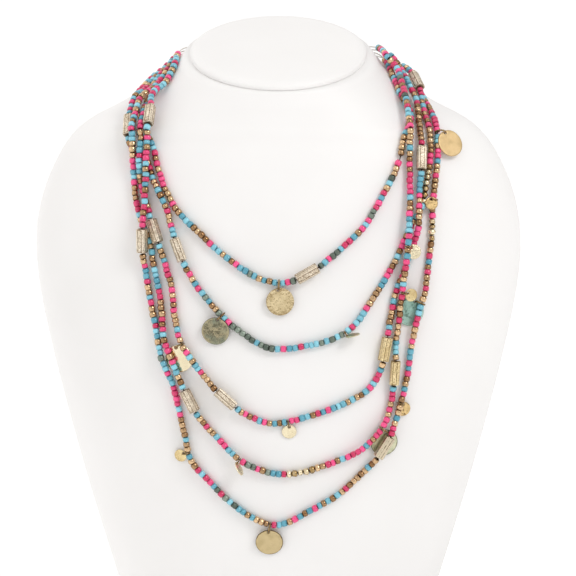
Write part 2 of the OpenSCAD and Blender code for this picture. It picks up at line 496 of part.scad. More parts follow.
module coin_ring_6() { color(GOLD) coin_ring(5); }
module coin_ring_7() { color(GOLD) coin_ring(6); }
module disc_ring_1() { color(GOLD) disc_ring(0); }
module disc_ring_2() { color(GOLD) disc_ring(1); }
module disc_ring_3() { color(GOLD) disc_ring(2); }
module disc_ring_4() { color(GOLD) disc_ring(3); }
module disc_ring_5() { color(GOLD) disc_ring(4); }
module disc_ring_6() { color(GOLD) disc_ring(5); }
module disc_ring_7() { color(GOLD) disc_ring(6); }
module disc_ring_8() { color(GOLD) disc_ring(7); }
module end_bar_left() { color(GOLD) bar(LEFT_BAR_AT, end_bar_length); }
module end_bar_right() { color(GOLD) bar(RIGHT_BAR_AT, end_bar_length); }
module clasp_bar() { color(GOLD) bar([0, 0, 0, 0, 0, 0], clasp_length); }

bust();
neck_cap();
strand_1();
strand_2();
strand_3();
strand_4();
strand_5();
tube_1();
tube_2();
tube_3();
tube_4();
tube_5();
tube_6();
tube_7();
tube_8();
tube_9();
tube_10();
tube_11();
tube_12();
tube_13();
coin_1();
coin_2();
coin_3();
coin_4();
coin_5();
coin_6();
coin_7();
disc_1();
disc_2();
disc_3();
disc_4();
disc_5();
disc_6();
disc_7();
disc_8();
coin_ring_1();
coin_ring_2();
coin_ring_3();
coin_ring_4();
coin_ring_5();
coin_ring_6();
coin_ring_7();
disc_ring_1();
disc_ring_2();
disc_ring_3();
disc_ring_4();
disc_ring_5();
disc_ring_6();
disc_ring_7();
disc_ring_8();
end_bar_left();
end_bar_right();
clasp_bar();
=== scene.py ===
# %% [markdown]
# # Five strands of beads on a neck bust
# The real thing is a summer necklace: five strings of small glass beads with square metal tubes,
# coins and little discs, hung on a plain white neck form for display. The solids of every piece
# come packed from the drawing, so this lesson starts by loading them as a fixed frame. All that
# follows is laid on that frame, in metres, with the viewer on the -Y side.

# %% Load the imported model
import math
import bpy
import bmesh
import numpy as np
from mathutils import Matrix, Vector, geometry, noise


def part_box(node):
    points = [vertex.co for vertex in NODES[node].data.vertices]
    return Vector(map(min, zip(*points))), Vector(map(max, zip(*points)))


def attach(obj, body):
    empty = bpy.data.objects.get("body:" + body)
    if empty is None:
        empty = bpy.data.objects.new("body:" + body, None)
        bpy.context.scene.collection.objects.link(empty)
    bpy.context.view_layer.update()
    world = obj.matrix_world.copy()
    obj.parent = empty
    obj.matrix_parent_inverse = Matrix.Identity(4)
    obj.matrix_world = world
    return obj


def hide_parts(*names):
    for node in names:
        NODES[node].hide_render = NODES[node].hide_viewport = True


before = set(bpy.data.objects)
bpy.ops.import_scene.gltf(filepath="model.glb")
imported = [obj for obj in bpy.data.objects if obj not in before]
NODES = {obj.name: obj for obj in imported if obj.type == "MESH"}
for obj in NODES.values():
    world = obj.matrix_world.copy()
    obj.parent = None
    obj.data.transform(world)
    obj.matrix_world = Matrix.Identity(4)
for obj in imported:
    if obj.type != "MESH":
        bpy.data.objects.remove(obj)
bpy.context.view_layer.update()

scene = bpy.context.scene

# %% [markdown]
# ## The camera
# The picture was taken from a little above the middle of the necklace with a long lens, so the
# strands keep their true widths. A long lens far away gives that flat look. It is placed by its
# distance and its fall of ten degrees, and turned towards the middle of the picture.

# %% Camera
AIM = Vector((0.0059, 0.0, 0.246))
DISTANCE = 1.4
FALL = math.radians(10)
lens = bpy.data.cameras.new("long_lens")
lens.lens = 140
lens.sensor_width = 36
camera = bpy.data.objects.new("camera", lens)
scene.collection.objects.link(camera)
camera.location = AIM + DISTANCE * Vector((0, -math.cos(FALL), math.sin(FALL)))
camera.rotation_euler = (AIM - camera.location).to_track_quat("-Z", "Y").to_euler()
scene.camera = camera
scene.view_settings.view_transform = "Standard"
print("camera at", [round(v, 3) for v in camera.location])

# %% [markdown]
# ## Floor and light
# The setting is a white table in a white room. One large soft lamp stands to the upper right in
# front, which gives the faint shadows to the lower left of each strand. The room itself is a
# world colour. It is greyer where a viewer would stand, because polished metal that mirrors an
# even white room looks like paper. It is brighter to the left, where more light comes in, and
# along the skyline, so that the edge of the floor doesn't show. A wide disc that glows a little,
# more towards the back, does for the floor, since only its colour is ever seen.

# %% Helpers for node trees
def node(tree, kind, inputs=None, **props):
    made = tree.nodes.new(kind)
    for key, value in props.items():
        setattr(made, key, value)
    for key, value in (inputs or {}).items():
        if isinstance(value, bpy.types.NodeSocket):
            tree.links.new(value, made.inputs[key])
        else:
            made.inputs[key].default_value = value
    return made


def reckon(tree, operation, *values, **props):
    """One step of arithmetic."""
    return node(tree, "ShaderNodeMath", dict(enumerate(values)), operation=operation,
                **props).outputs[0]


def ranged(tree, value, low, high, to_low=0.0, to_high=1.0, way="LINEAR"):
    """A value moved from one range to another and kept inside it."""
    return node(tree, "ShaderNodeMapRange", {"Value": value, "From Min": low, "From Max": high,
                "To Min": to_low, "To Max": to_high}, interpolation_type=way).outputs[0]


def blend(tree, amount, first, second):
    """A colour between two, each a triple or the colour of another node."""
    first, second = [(*c, 1) if isinstance(c, tuple) else c for c in (first, second)]
    return node(tree, "ShaderNodeMix", {0: amount, 6: first, 7: second},
                data_type="RGBA").outputs[2]


def cloud_of(tree, where, scale, detail, rough=0.5):
    return node(tree, "ShaderNodeTexNoise", {"Vector": where, "Scale": scale, "Detail": detail,
                "Roughness": rough}).outputs[0]


def finish_of(name, **values):
    made = bpy.data.materials.new(name)
    made.use_nodes = True
    tree = made.node_tree
    skin = tree.nodes["Principled BSDF"]
    for key, value in values.items():
        skin.inputs[key.replace("_", " ")].default_value = value
    return made, tree, skin


def clothe(tree, skin, colour, rough, height, strength, deep):
    """Join a colour, a roughness and a bump that is deep metres high to the skin."""
    bump = node(tree, "ShaderNodeBump", {"Height": height, "Strength": strength,
                "Distance": deep}).outputs[0]
    for value, socket in ((colour, "Base Color"), (rough, "Roughness"), (bump, "Normal")):
        tree.links.new(value, skin.inputs[socket])


print("node helpers ready")

# %% Helpers for meshes
def piece_of(name, points, faces, finish, smooth=True):
    mesh = bpy.data.meshes.new(name)
    mesh.from_pydata([tuple(p) for p in points], [], [tuple(f) for f in faces])
    mesh.materials.append(finish)
    body = bmesh.new()
    body.from_mesh(mesh)
    bmesh.ops.recalc_face_normals(body, faces=body.faces)
    if body.calc_volume(signed=True) < 0:
        bmesh.ops.reverse_faces(body, faces=body.faces)
    body.to_mesh(mesh)
    body.free()
    mesh.polygons.foreach_set("use_smooth", [smooth] * len(mesh.polygons))
    made = bpy.data.objects.new(name, mesh)
    scene.collection.objects.link(made)
    return made


def around(count):
    """Even steps of a full turn, in radians."""
    return np.arange(count) * 2 * math.pi / count


def lathe_faces(rings, count):
    return [(i * count + j, i * count + (j + 1) % count, (i + 1) * count + (j + 1) % count,
             (i + 1) * count + j) for i in range(rings - 1) for j in range(count)]


print("mesh helpers ready")

# %% Floor
RIM, FLOOR_R, FLOOR_Z = 96, 16, -0.0005
pale, tree, skin = finish_of("pale_floor", Base_Color=(0.93, 0.93, 0.93, 1), Roughness=0.9)
skin.inputs["Emission Color"].default_value = (1, 1, 1, 1)
where = node(tree, "ShaderNodeTexCoord").outputs["Object"]
back = node(tree, "ShaderNodeSeparateXYZ", {0: where}).outputs["Y"]
glow = ranged(tree, back, 0.06, 0.22, 0.11, 0.24, "SMOOTHSTEP")
tree.links.new(glow, skin.inputs["Emission Strength"])
rim = [(FLOOR_R * math.cos(a), FLOOR_R * math.sin(a), FLOOR_Z) for a in around(RIM)]
floor = piece_of("floor", rim, [list(range(RIM))], pale, smooth=False)
print("floor", 2 * FLOOR_R, "m wide")

# %% Lamp and room
LAMP_WAY, LAMP_AWAY = Vector((0.9, -1.0, 1.1)), 1.6
VIEWER_WAY = (0, -0.94, 0.34)
lamp = bpy.data.lights.new("soft_lamp", "AREA")
lamp.shape = "DISK"
lamp.size = 0.6
lamp.energy = 8
lamp_stand = bpy.data.objects.new("soft_lamp", lamp)
scene.collection.objects.link(lamp_stand)
lamp_stand.location = AIM + LAMP_AWAY * LAMP_WAY.normalized()
lamp_stand.rotation_euler = (AIM - lamp_stand.location).to_track_quat("-Z", "Y").to_euler()

room = bpy.data.worlds.new("white_room")
scene.world = room
room.use_nodes = True
tree = room.node_tree
way = node(tree, "ShaderNodeTexCoord").outputs["Generated"]
front = node(tree, "ShaderNodeVectorMath", {0: way, 1: VIEWER_WAY}, operation="DOT_PRODUCT")
shade = ranged(tree, front.outputs["Value"], 0.35, 1.0, 0.74, 0.45, "SMOOTHSTEP")
parts = node(tree, "ShaderNodeSeparateXYZ", {0: way}).outputs
skyline = ranged(tree, reckon(tree, "ABSOLUTE", parts["Z"]), 0.02, 0.14, 0.25, 0.0, "SMOOTHSTEP")
left = ranged(tree, parts["X"], -0.9, 0.9, 0.5, -0.14, "SMOOTHSTEP")
strength = reckon(tree, "ADD", shade, reckon(tree, "ADD", skyline, left))
tree.links.new(strength, tree.nodes["Background"].inputs["Strength"])
tree.nodes["Background"].inputs["Color"].default_value = (1, 0.99, 0.98, 1)
print("lamp", lamp.energy, "W, room nodes:", len(tree.nodes))

# %% [markdown]
# ## The shape of the neck bust
# The bust is one smooth white form, cast or covered in plain leathercloth. Its shape is given by
# level ovals, each with a half width, a centre and its reach to the front and the back, and the
# ovals tilt towards the top so that the neck leans back. Sculpting it would do as well, but the
# strands have to lie on it to a fraction of a millimetre, so the same ovals are repeated here
# as in the drawing and the mesh is only made finer.

# %% Ovals of the bust
WIDTH, DEPTH, HEIGHT, TILT, NECK_Y = 301, 133, 391, math.tan(math.radians(19.3)), 7
OVALS = np.array([
    (0.000, 0.565, 0.000, 0.451, 0.391), (0.153, 0.678, 0.000, 0.496, 0.414),
    (0.332, 0.811, 0.000, 0.534, 0.436), (0.512, 0.927, 0.000, 0.541, 0.459),
    (0.639, 0.990, 0.000, 0.511, 0.466), (0.716, 1.000, 0.008, 0.481, 0.459),
    (0.780, 0.973, 0.015, 0.451, 0.444), (0.839, 0.910, 0.026, 0.421, 0.429),
    (0.877, 0.844, 0.038, 0.402, 0.417), (0.900, 0.771, 0.041, 0.395, 0.410),
    (0.918, 0.664, 0.045, 0.391, 0.402), (0.939, 0.565, 0.049, 0.390, 0.398),
    (0.964, 0.472, 0.049, 0.389, 0.395), (0.995, 0.395, 0.053, 0.387, 0.389),
    (1.023, 0.355, 0.053, 0.385, 0.387), (1.100, 0.355, 0.053, 0.385, 0.387)])
LEVELS = np.arange(0, 431, 2.0)
LEAN_FROM, LEAN_OVER = 330, 55


def eased(u):
    v = np.clip(u, 0, 1)
    return v * v * (3 - 2 * v)


def oval_column(column, size):
    at, rows = OVALS[:, 0], OVALS[:, column]
    last = len(at) - 1
    up, down = np.minimum(np.arange(last + 1) + 1, last), np.maximum(np.arange(last + 1) - 1, 0)
    slope = (rows[up] - rows[down]) / (at[up] - at[down])
    s = LEVELS / HEIGHT
    i = np.clip(np.searchsorted(at, s, side="right") - 1, 0, last - 1)
    h = at[i + 1] - at[i]
    u = (s - at[i]) / h
    return size * ((2 * u**3 - 3 * u * u + 1) * rows[i] + (u**3 - 2 * u * u + u) * h * slope[i]
                   + (3 * u * u - 2 * u**3) * rows[i + 1] + (u**3 - u * u) * h * slope[i + 1])


HALF, CENTRE = oval_column(1, WIDTH / 2), oval_column(2, DEPTH)
FRONT, BACK = oval_column(3, DEPTH), oval_column(4, DEPTH)


def tilt_at(z):
    return eased((z - LEAN_FROM) / LEAN_OVER) * TILT


def outside(p):
    level = p[..., 2] - tilt_at(p[..., 2]) * (p[..., 1] - NECK_Y)
    centre = np.interp(level, LEVELS, CENTRE)
    deep = np.where(p[..., 1] < centre, np.interp(level, LEVELS, FRONT),
                    np.interp(level, LEVELS, BACK))
    wide = np.interp(level, LEVELS, HALF)
    return np.sqrt((p[..., 0] / wide)**2 + ((p[..., 1] - centre) / deep)**2) - 1


def steepest(p):
    step = 0.5 * np.eye(3)
    return np.stack([outside(p + d) - outside(p - d) for d in step], axis=-1)


def unit(v):
    return v / np.linalg.norm(v, axis=-1, keepdims=True)


print("neck half width at the top:", round(float(np.interp(HEIGHT, LEVELS, HALF)), 1), "mm")

# %% [markdown]
# ## White for the bust
# Display forms of this kind have an even satin white skin. A flat colour would look like plaster
# in a drawing, so a very faint cloud moves the white and the sheen, and a fine grain in the bump
# breaks up the highlight as leathercloth does. The grain is set in millimetres through Object
# coordinates, which stay put in every view.

# %% Satin white
satin, tree, skin = finish_of("satin_white", Roughness=0.5, Specular_IOR_Level=0.35)
where = node(tree, "ShaderNodeTexCoord").outputs["Object"]
cloud = cloud_of(tree, where, 18.0, 3.0)
white = blend(tree, ranged(tree, cloud, 0.3, 0.7), (0.868, 0.855, 0.843), (0.888, 0.876, 0.866))
sheen = ranged(tree, cloud, 0.0, 1.0, 0.44, 0.58)
clothe(tree, skin, white, sheen, cloud_of(tree, where, 1400.0, 2.0), 0.12, 0.0002)
print(satin.name, "nodes:", len(tree.nodes))

# %% Bust mesh
COLUMNS = 144
FOOT = ((0, 2.5), (0.7, 0.8), (2.5, 0))
TOP, TOP_INSET = HEIGHT - 0.3, 30


def height_of(level, y):
    z = np.full_like(y, level)
    for _ in range(30):
        z = level + tilt_at(z) * (y - NECK_Y)
    return z


def oval_ring(level, inset=0.0, lift=None):
    turn = around(COLUMNS)
    wide = np.interp(level, LEVELS, HALF) - inset
    deep = np.where(np.sin(turn) < 0, np.interp(level, LEVELS, FRONT),
                    np.interp(level, LEVELS, BACK)) - inset
    x, y = wide * np.cos(turn), np.interp(level, LEVELS, CENTRE) + deep * np.sin(turn)
    z = height_of(level, y) if lift is None else level + lift * (y - NECK_Y)
    return np.stack([x, y, z], axis=-1)


rings = [oval_ring(level, inset) for level, inset in FOOT]
rings += [oval_ring(level) for level in (*range(6, 330, 6), *np.arange(331, 388, 2.5))]
rings += [oval_ring(TOP, inset, TILT) for inset in (0, TOP_INSET)]
rings[0][:, 2] = 0
points = np.concatenate(rings) / 1000
faces = lathe_faces(len(rings), COLUMNS)
faces += [list(range(COLUMNS)), list(range(len(points) - COLUMNS, len(points)))]
bust = piece_of("neck_form", points, faces, satin)
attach(bust, "root")
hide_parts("bust")
print("neck form:", len(rings), "rings,", len(faces), "faces")

# %% [markdown]
# ## The cap on the neck
# A thin round plate closes the neck. Its rim is rolled over and its top is a little domed. It is
# a turned shape, so one half outline is smoothed and spun, then tilted with the neck.

# %% Neck cap
CAP_R, CAP_SIDES = 54.4, 120
outline = [(CAP_R - 9, 0), (CAP_R - 1, 0), (CAP_R - 0.3, 0.4), (CAP_R, 1.2), (CAP_R - 0.2, 2.5),
           (CAP_R - 1.2, 3.6), (CAP_R - 3, 4.4), (CAP_R - 7, 5.0), (30, 5.5), (8, 5.78),
           (0.5, 5.8)]


def between(a, b, c, d, t):
    return 0.5 * (2 * b + (c - a) * t + (2 * a - 5 * b + 4 * c - d) * t * t
                  + (3 * b - a - 3 * c + d) * t**3)


bends = np.array([outline[0]] + outline + [outline[-1]], float)
half_line = [between(*bends[i:i + 4], t) for i in range(len(outline) - 1)
             for t in (0, 0.25, 0.5, 0.75)] + [bends[-1]]
lean = Matrix.Translation((0, NECK_Y, HEIGHT)) @ Matrix.Rotation(math.atan(TILT), 4, "X")
points = [lean @ Vector((r * math.cos(a), r * math.sin(a), z)) / 1000 for r, z in half_line
          for a in around(CAP_SIDES)]
faces = lathe_faces(len(half_line), CAP_SIDES)
faces += [list(range(CAP_SIDES)), list(range(len(points) - CAP_SIDES, len(points)))]
cap = piece_of("rolled_cap", points, faces, satin)
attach(cap, "root")
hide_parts("neck_cap")
print("cap:", len(half_line), "rings")

# %% [markdown]
# ## Where the strands lie
# Each strand is a closed loop. It runs bare behind the neck, comes round both sides and hangs
# down the chest, and it crosses over or under its neighbours. The drawing holds each as a list
# of places with a lift in layers of beads. The list is smoothed, and every sample is pushed out
# along the surface to its own height. Here the same rule is run in arrays, for the beads to
# follow.

# %% Routes in millimetres: x, y, z and lift
BARE = -0.05
ROUTES = {
    1: [(0, 61, 381, BARE), (-22, 58, 381, BARE), (-40, 48, 381, BARE), (-51, 39, 382, BARE),
        (-64.5, 29, 381, BARE), (-74, 18, 375, 0), (-80, 10, 370, 0), (-85, 4, 367.5, 0),
        (-88, -4, 364.5, 0), (-87, -14, 360, 0), (-82.5, -27, 354, 0), (-79.5, -35, 348, 0),
        (-77, -39, 343.5, 0), (-75, -41.5, 339, 0), (-73.5, -44, 334, 0), (-72, -46.5, 328, 0),
        (-69.5, -49.5, 320, 0), (-66.5, -52, 313, 0), (-62, -55, 305, 0), (-56, -57.5, 298, 0),
        (-48.5, -60, 291.5, 0), (-39.5, -62.5, 283, 0), (-30, -65, 275.5, 0),
        (-19.5, -67, 268, 0), (-10.5, -68, 263.5, 0), (-2, -68.5, 261.5, 0.1),
        (6, -68.5, 261.5, 0), (17.5, -67.5, 265.5, 0.2), (27, -65.5, 272.5, 0),
        (39, -63, 282, 0), (50, -59.5, 292, 0), (57.5, -56, 303, 0), (65, -51.5, 316, 0),
        (70, -48, 325, 0), (73, -44.5, 333, 0), (74.5, -41.5, 340, 0), (76, -38, 346, 0),
        (79, -32, 352, 0), (80, -26, 356.5, 0), (78.5, -20, 361, 0), (75, -13, 367, 0),
        (70.5, -2, 374, 0), (65.5, 8, 378, 0), (60, 18, 382, 0), (49.5, 38, 385.5, BARE),
        (37, 50, 384.5, BARE - 0.2), (20, 59, 382.5, BARE - 0.2)],
    2: [(0, 61, 383, BARE), (-22, 58, 383, BARE), (-40, 48, 383, BARE), (-50.5, 39, 384, BARE),
        (-62, 28, 383, BARE), (-70.2, 17, 378, 0), (-76, 9, 374, 0), (-79.8, 3, 371, 0),
        (-82.5, -3, 367.5, 0.3), (-84, -9.5, 361.5, 0.8), (-87, -17, 356.5, 0.5),
        (-89, -25, 352.5, 0.3), (-89.5, -31.5, 347.5, 0.15), (-89.3, -35.5, 342, 0),
        (-86.5, -39, 336.5, 0), (-80, -42.5, 332.5, 0), (-77, -45.5, 327, 0),
        (-74, -48.5, 319, 0.3), (-69.5, -52, 311, 0.6), (-66, -54.5, 303, 0.4),
        (-64.5, -56.5, 296, 0), (-62.5, -57.5, 290.5, 0), (-60.5, -60, 280, 0.2),
        (-56.5, -62, 272.5, 0), (-49, -65.5, 259.5, 0), (-40.5, -68, 249, 0), (-30, -70, 238, 0),
        (-19.5, -72, 230, 0), (-8.5, -73, 223.5, 0), (3, -73, 222, 0), (15, -72.5, 223.5, 0),
        (31, -71, 227, 0.1), (44.5, -68.5, 235, 0.3), (54, -66, 247, 0), (62, -63, 259.5, 0),
        (70, -59.5, 272.5, 0), (76, -56, 286, 0), (81, -52.5, 295.5, 0), (86.3, -49, 305, 0),
        (88.5, -45.5, 315.5, 0), (90.5, -41.5, 326.5, 0), (92, -36, 339, 0), (91, -29.5, 350, 0),
        (88, -15, 360, 0), (84.8, -4, 366, 0.6), (80, 7, 368.5, 1), (73, 14, 373, 0.9),
        (66, 21, 378.5, 0.4), (51.5, 38, 383.5, BARE), (38, 49.5, 383.5, BARE), (20, 59, 384, BARE)],
    3: [(0, 61, 385, BARE), (-22, 58, 385, BARE), (-40, 48, 385, BARE), (-50, 39, 386, BARE),
        (-59.5, 28, 385, BARE), (-66.2, 17, 382, 0), (-71, 9, 378.5, 0), (-75, 3, 375, 0),
        (-78, -3, 371, 0), (-79.5, -10, 366, 0), (-79.5, -17, 361.5, 0.1),
        (-79.3, -24, 355, 0.8), (-79.8, -30, 349, 1), (-80.3, -36, 342, 1),
        (-81.2, -39.5, 335, 1), (-82, -43.5, 328, 0.8), (-82.2, -46, 320, 0.1),
        (-80.8, -48.5, 313, 0), (-78.5, -51, 306, 0), (-76, -53.5, 298, 0), (-73, -55.5, 291, 0.2),
        (-70, -58, 279.5, 0), (-66.5, -61, 268, 0), (-63.5, -63, 257, 0), (-62.5, -64.5, 246, 0),
        (-61, -65.5, 236.5, 0.1), (-57.5, -67, 225, 0.66), (-50.5, -69, 214, 0.66),
        (-41, -71, 201.5, 0.1), (-31.5, -72.5, 192, 0.2), (-19.5, -74, 182.5, 0),
        (-5.5, -74.5, 177, 0), (8, -74.5, 178.5, 0), (20, -74, 181.5, 0), (40, -71.5, 188.5, 0),
        (53.5, -69, 196, 0), (60.5, -67, 206.5, 0), (63.5, -66, 221, 0.2), (67, -64, 238.5, 0),
        (70.5, -62, 254.5, 0), (75.5, -58.5, 267, 0), (80, -55, 280, 0), (82.5, -52.5, 291, 0.9),
        (83, -50.5, 301, 1), (84.5, -47, 315.5, 0.2), (85.5, -41, 332.5, 0.2),
        (85.5, -32.5, 350, 0), (82.5, -13, 361, 0.5), (76.3, -1.5, 370, 0.9), (71.3, 8, 374, 0.9),
        (67, 13, 378.5, 1), (61.5, 17, 383.5, 1), (49.5, 38, 387.5, BARE), (37, 50, 387, BARE),
        (20, 59, 385.5, BARE)],
    4: [(0, 61, 387, BARE), (-22, 58, 387, BARE), (-40, 48, 387, BARE), (-49.5, 39, 388, BARE),
        (-57, 27, 387, BARE), (-62.5, 15, 384, 0), (-66.5, 7, 381.5, 0), (-71, 1, 378.5, 0),
        (-74.5, -5, 373, 0.2), (-76.5, -10, 366, 0.8), (-79.5, -14, 359.5, 1.2),
        (-81.7, -20, 355.5, 1.3), (-83.7, -27, 350, 1.3), (-84.7, -34, 342.5, 1.35),
        (-85.5, -38.5, 334.5, 1), (-86.3, -43, 325, 0.2), (-86, -46.5, 315.5, 0),
        (-84.5, -49.5, 305, 0), (-80.5, -53, 293, 0), (-76.5, -56.5, 282, 0), (-74, -59, 268, 0),
        (-71, -61.5, 255, 0), (-69.5, -63, 242.5, 0), (-67.5, -64.5, 227, 0.6),
        (-62.5, -66.5, 213.5, 0.85), (-56.5, -68, 198, 0.2), (-53, -69, 190, 0.2),
        (-45.5, -70, 177.5, 0), (-34.5, -72, 165.5, 0), (-22.5, -73, 154.5, 0.5),
        (-5.5, -74, 146.5, 0), (10.5, -73.5, 146, 0), (31, -72, 151.5, 0),
        (48.5, -69, 159.5, 0.55), (61.5, -66, 173, 0.8), (67, -65, 185, 0.2), (69, -65, 198, 0),
        (70, -64.5, 206.5, 0.2), (70, -64, 220.5, 0), (71.5, -62.5, 238, 0.5),
        (73.5, -60.5, 259, 1), (75, -58, 272, 1.45), (76.5, -55, 288, 1.4), (78, -50.5, 306, 0.6),
        (78.5, -44.5, 329, 0.3), (77.3, -37, 343, 0.9), (75.3, -24, 355.5, 1),
        (71.7, -8, 368.5, 1), (68, 4, 375.5, 1), (63.5, 7, 380.5, 1), (58.5, 9, 385.5, 0.9),
        (48, 38, 389.5, BARE), (36, 50, 389, BARE), (20, 59, 387.5, BARE)],
    5: [(0, 61, 389, BARE), (-22, 58, 389, BARE), (-40, 48, 389, BARE), (-49, 39, 390, BARE),
        (-54.5, 26, 389.5, BARE), (-58.5, 14, 386.5, 0), (-62, 4, 385, 0), (-66.5, -3, 381, 0),
        (-69.5, -9, 374, 0.1), (-72, -13, 367.5, 0.5), (-73.3, -18, 362, 0.8),
        (-73.5, -25, 355.5, 0.9), (-74.6, -32, 349, 1), (-76.2, -37, 342, 1),
        (-77.2, -42, 331, 1.06), (-77.7, -47, 316, 1.06), (-78.7, -51.5, 300, 1.15),
        (-79.7, -54, 288, 1.1), (-80.3, -56, 278, 0.5), (-79.2, -58, 267, 0),
        (-77, -60.5, 252, 0), (-73, -63, 232.5, 0.1), (-69, -65, 215, 0.7),
        (-63, -66.5, 199.5, 0.1), (-60, -67, 186, 0), (-56, -67.5, 169, 0.15),
        (-52, -68, 152, 0.15), (-41.5, -69.5, 140, 0), (-29, -71, 127.5, 0), (-12, -72.5, 116, 0),
        (2.5, -72.5, 114, 0), (17.5, -72, 121.5, 0), (35, -70.5, 131, 0), (52.5, -67.5, 146.5, 0),
        (59.5, -66, 156, 0.6), (64, -65, 163, 0.8), (68, -64.5, 171.5, 0.6), (73, -63.5, 187, 0.5),
        (77.5, -62, 203.5, 0), (79.5, -61.5, 221, 0.25), (83, -59.5, 241, 0.75),
        (87, -57.5, 253, 0.6), (90, -54.5, 269.5, 0), (92, -51.5, 284, 0), (92.5, -47, 305, 0.1),
        (94.5, -42.5, 319, 0), (96, -37, 332.5, 0), (96, -28, 348.5, 0), (93, -14, 359, 0),
        (89.5, -2.5, 364.5, 0), (85, 8, 367, 0), (78.5, 18, 371, 0), (71, 26, 375.5, 0),
        (55, 38, 381, BARE), (41, 48.5, 383, BARE + 0.2), (29, 55.5, 386.5, BARE + 0.28),
        (17, 59.5, 388.5, BARE + 0.15)]}
# Metal tubes: strand, x and z of the middle
TUBES = [(1, 18, 266), (2, -90, 352), (2, -60, 280), (2, 80, 373), (3, -73, 291), (3, -31, 192),
         (3, 64, 221), (3, 86, 333), (4, -53, 190), (4, 70, 206), (5, -75, 358), (5, -80, 285),
         (5, 63, 161.5)]
print("route points:", {k: len(r) for k, r in ROUTES.items()})

# %% Lay the strands
BEAD, GAP, LAYER, TUBE_LONG, TUBE_WIDE = 4.0, 0.3, 4.2, 14.2, 5.8
RAMP, CORNER_REACH = 12, 1.16


def laid(k):
    route = np.array(ROUTES[k], float)
    corners = [np.roll(route, shift, axis=0) for shift in (1, 0, -1, -2)]
    bent = np.stack([between(*corners, t) for t in (0, 0.25, 0.5, 0.75)], axis=1).reshape(-1, 4)
    near = [eased((TUBE_LONG / 2 + RAMP - np.hypot(bent[:, 0] - x, bent[:, 2] - z)) / RAMP)
            for strand, x, z in TUBES if strand == k]
    rise = np.max(near, axis=0) * (CORNER_REACH * TUBE_WIDE / 2 - BEAD / 2 + GAP)
    height = BEAD / 2 + GAP + LAYER * bent[:, 3] + rise
    p = bent[:, :3].copy()
    for _ in range(4):
        g = steepest(p)
        m = np.linalg.norm(g, axis=1, keepdims=True)
        p = p + g / m * (height[:, None] - outside(p)[:, None] / m)
    loop = np.vstack([p, p[:1]])
    run = np.concatenate([[0], np.cumsum(np.linalg.norm(np.diff(loop, axis=0), axis=1))])
    return loop, unit(steepest(loop)), run


STRANDS = {k: laid(k) for k in ROUTES}


def place(k, s):
    loop, normal, run = STRANDS[k]
    s = np.asarray(s) % run[-1]
    return (np.stack([np.interp(s, run, loop[:, i]) for i in range(3)], axis=-1),
            unit(np.stack([np.interp(s, run, normal[:, i]) for i in range(3)], axis=-1)))


def heading(k, s):
    s = np.asarray(s)
    return unit(place(k, s + 1)[0] - place(k, s - 1)[0])


print("loops in mm:", {k: round(v[2][-1]) for k, v in STRANDS.items()})

# %% [markdown]
# ## The stringing chart
# The maker strings by eye, with no repeat, so the chart is read off bead by bead and written as
# a row of letters for each stretch between two metal pieces: t turquoise, p pink, b bronze,
# g grey-green, n a gold nugget and - a bare stretch of thread. Each stretch starts and ends a
# little clear of its tube or ring, and its beads share its length.

# %% Chart and the metal pieces in stringing order
ORDER = {
    1: ["coin_1", "tube_1"],
    2: ["tube_2", "tube_3", "coin_2", "disc_8", "tube_4"],
    3: ["tube_5", "coin_4", "tube_6", "disc_1", "tube_7", "tube_8"],
    4: ["tube_9", "disc_3", "coin_7", "tube_10", "disc_4", "disc_5"],
    5: ["tube_11", "tube_12", "disc_2", "coin_3", "tube_13", "disc_7", "coin_6", "disc_6",
        "coin_5"]}
CHART = {
    1: ["tptbppbgppbbbtpbtppbtbttpbpbpppbbbpbbtttbbbbpttbtbpttgtbtbt",
        "tpg",
        "gtpggtpptbptpggpptpbtgbbp-bbbbtpbpptpbtbptbpptbbptpb"],
    2: ["ptbttbpptttbtptpt",
        "tbppbpbpbtbbtbtbpbbptt",
        "tbpbtptgtbbg",
        "tpgggggtgggtpttptttgtgtg",
        "tptttpbbbbttppbbtbppbtpbtbtnnnnnnbppbbbbbpbpbptbtpp",
        "ptbt"],
    3: ["ptbpttbpbtpbbtpbtptppbbttptttbbpptbbpt",
        "tbbtpppbbpbpbpbbbtpb",
        "bptbttpbbbb",
        "tbpbptpbtbt",
        "ppttbptptttbtbbtptpptb",
        "ptbbbptbptbpbttbpppppbbbpbptttt",
        "pbbbbbbbbbptbptttptpbbpt"],
    4: ["pttbpbtpptbpbbpbtbptbtpttbbbppttpbbbpptbptbtbtbbttttppbbbpbptbppbpttbbt",
        "tbbpbbtppttb",
        "pggpbgttpnnnnnbbppbtpppptpbpp",
        "ppbpbppt",
        "btttbbbpbbbp",
        "ptbbpptb",
        "tptttpbbtppppbpbbtbbbpbbttpbtgppbpgtptpbtpbtpbt"],
    5: ["pbttptbtpbttptpttp",
        "tbptbpptbtptbptpbpp",
        "bbpttpbbtpbbtpttbttgttpttpppptpbbbbtbb",
        "tbbptpptgpgtgttbtbbb",
        "pttbptbtptbtbtbpbbbbbtbb",
        "ppbtbb",
        "bptbbptpttbpbbpptt",
        "bbpbbpbtpbbnnnnpbb",
        "pbbbpbbtppbtt",
        "pppptpbbpbtptbbptb"]}
CLEAR = {"tube": TUBE_LONG / 2 + 0.9, "coin": 0.9, "disc": 0.75}
BEADS_END, END_GAP = 16, 0.3
BEHIND_Y, FAR = 30, 999


def middle_of(name):
    low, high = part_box(name)
    return np.array((low + high) * 500)


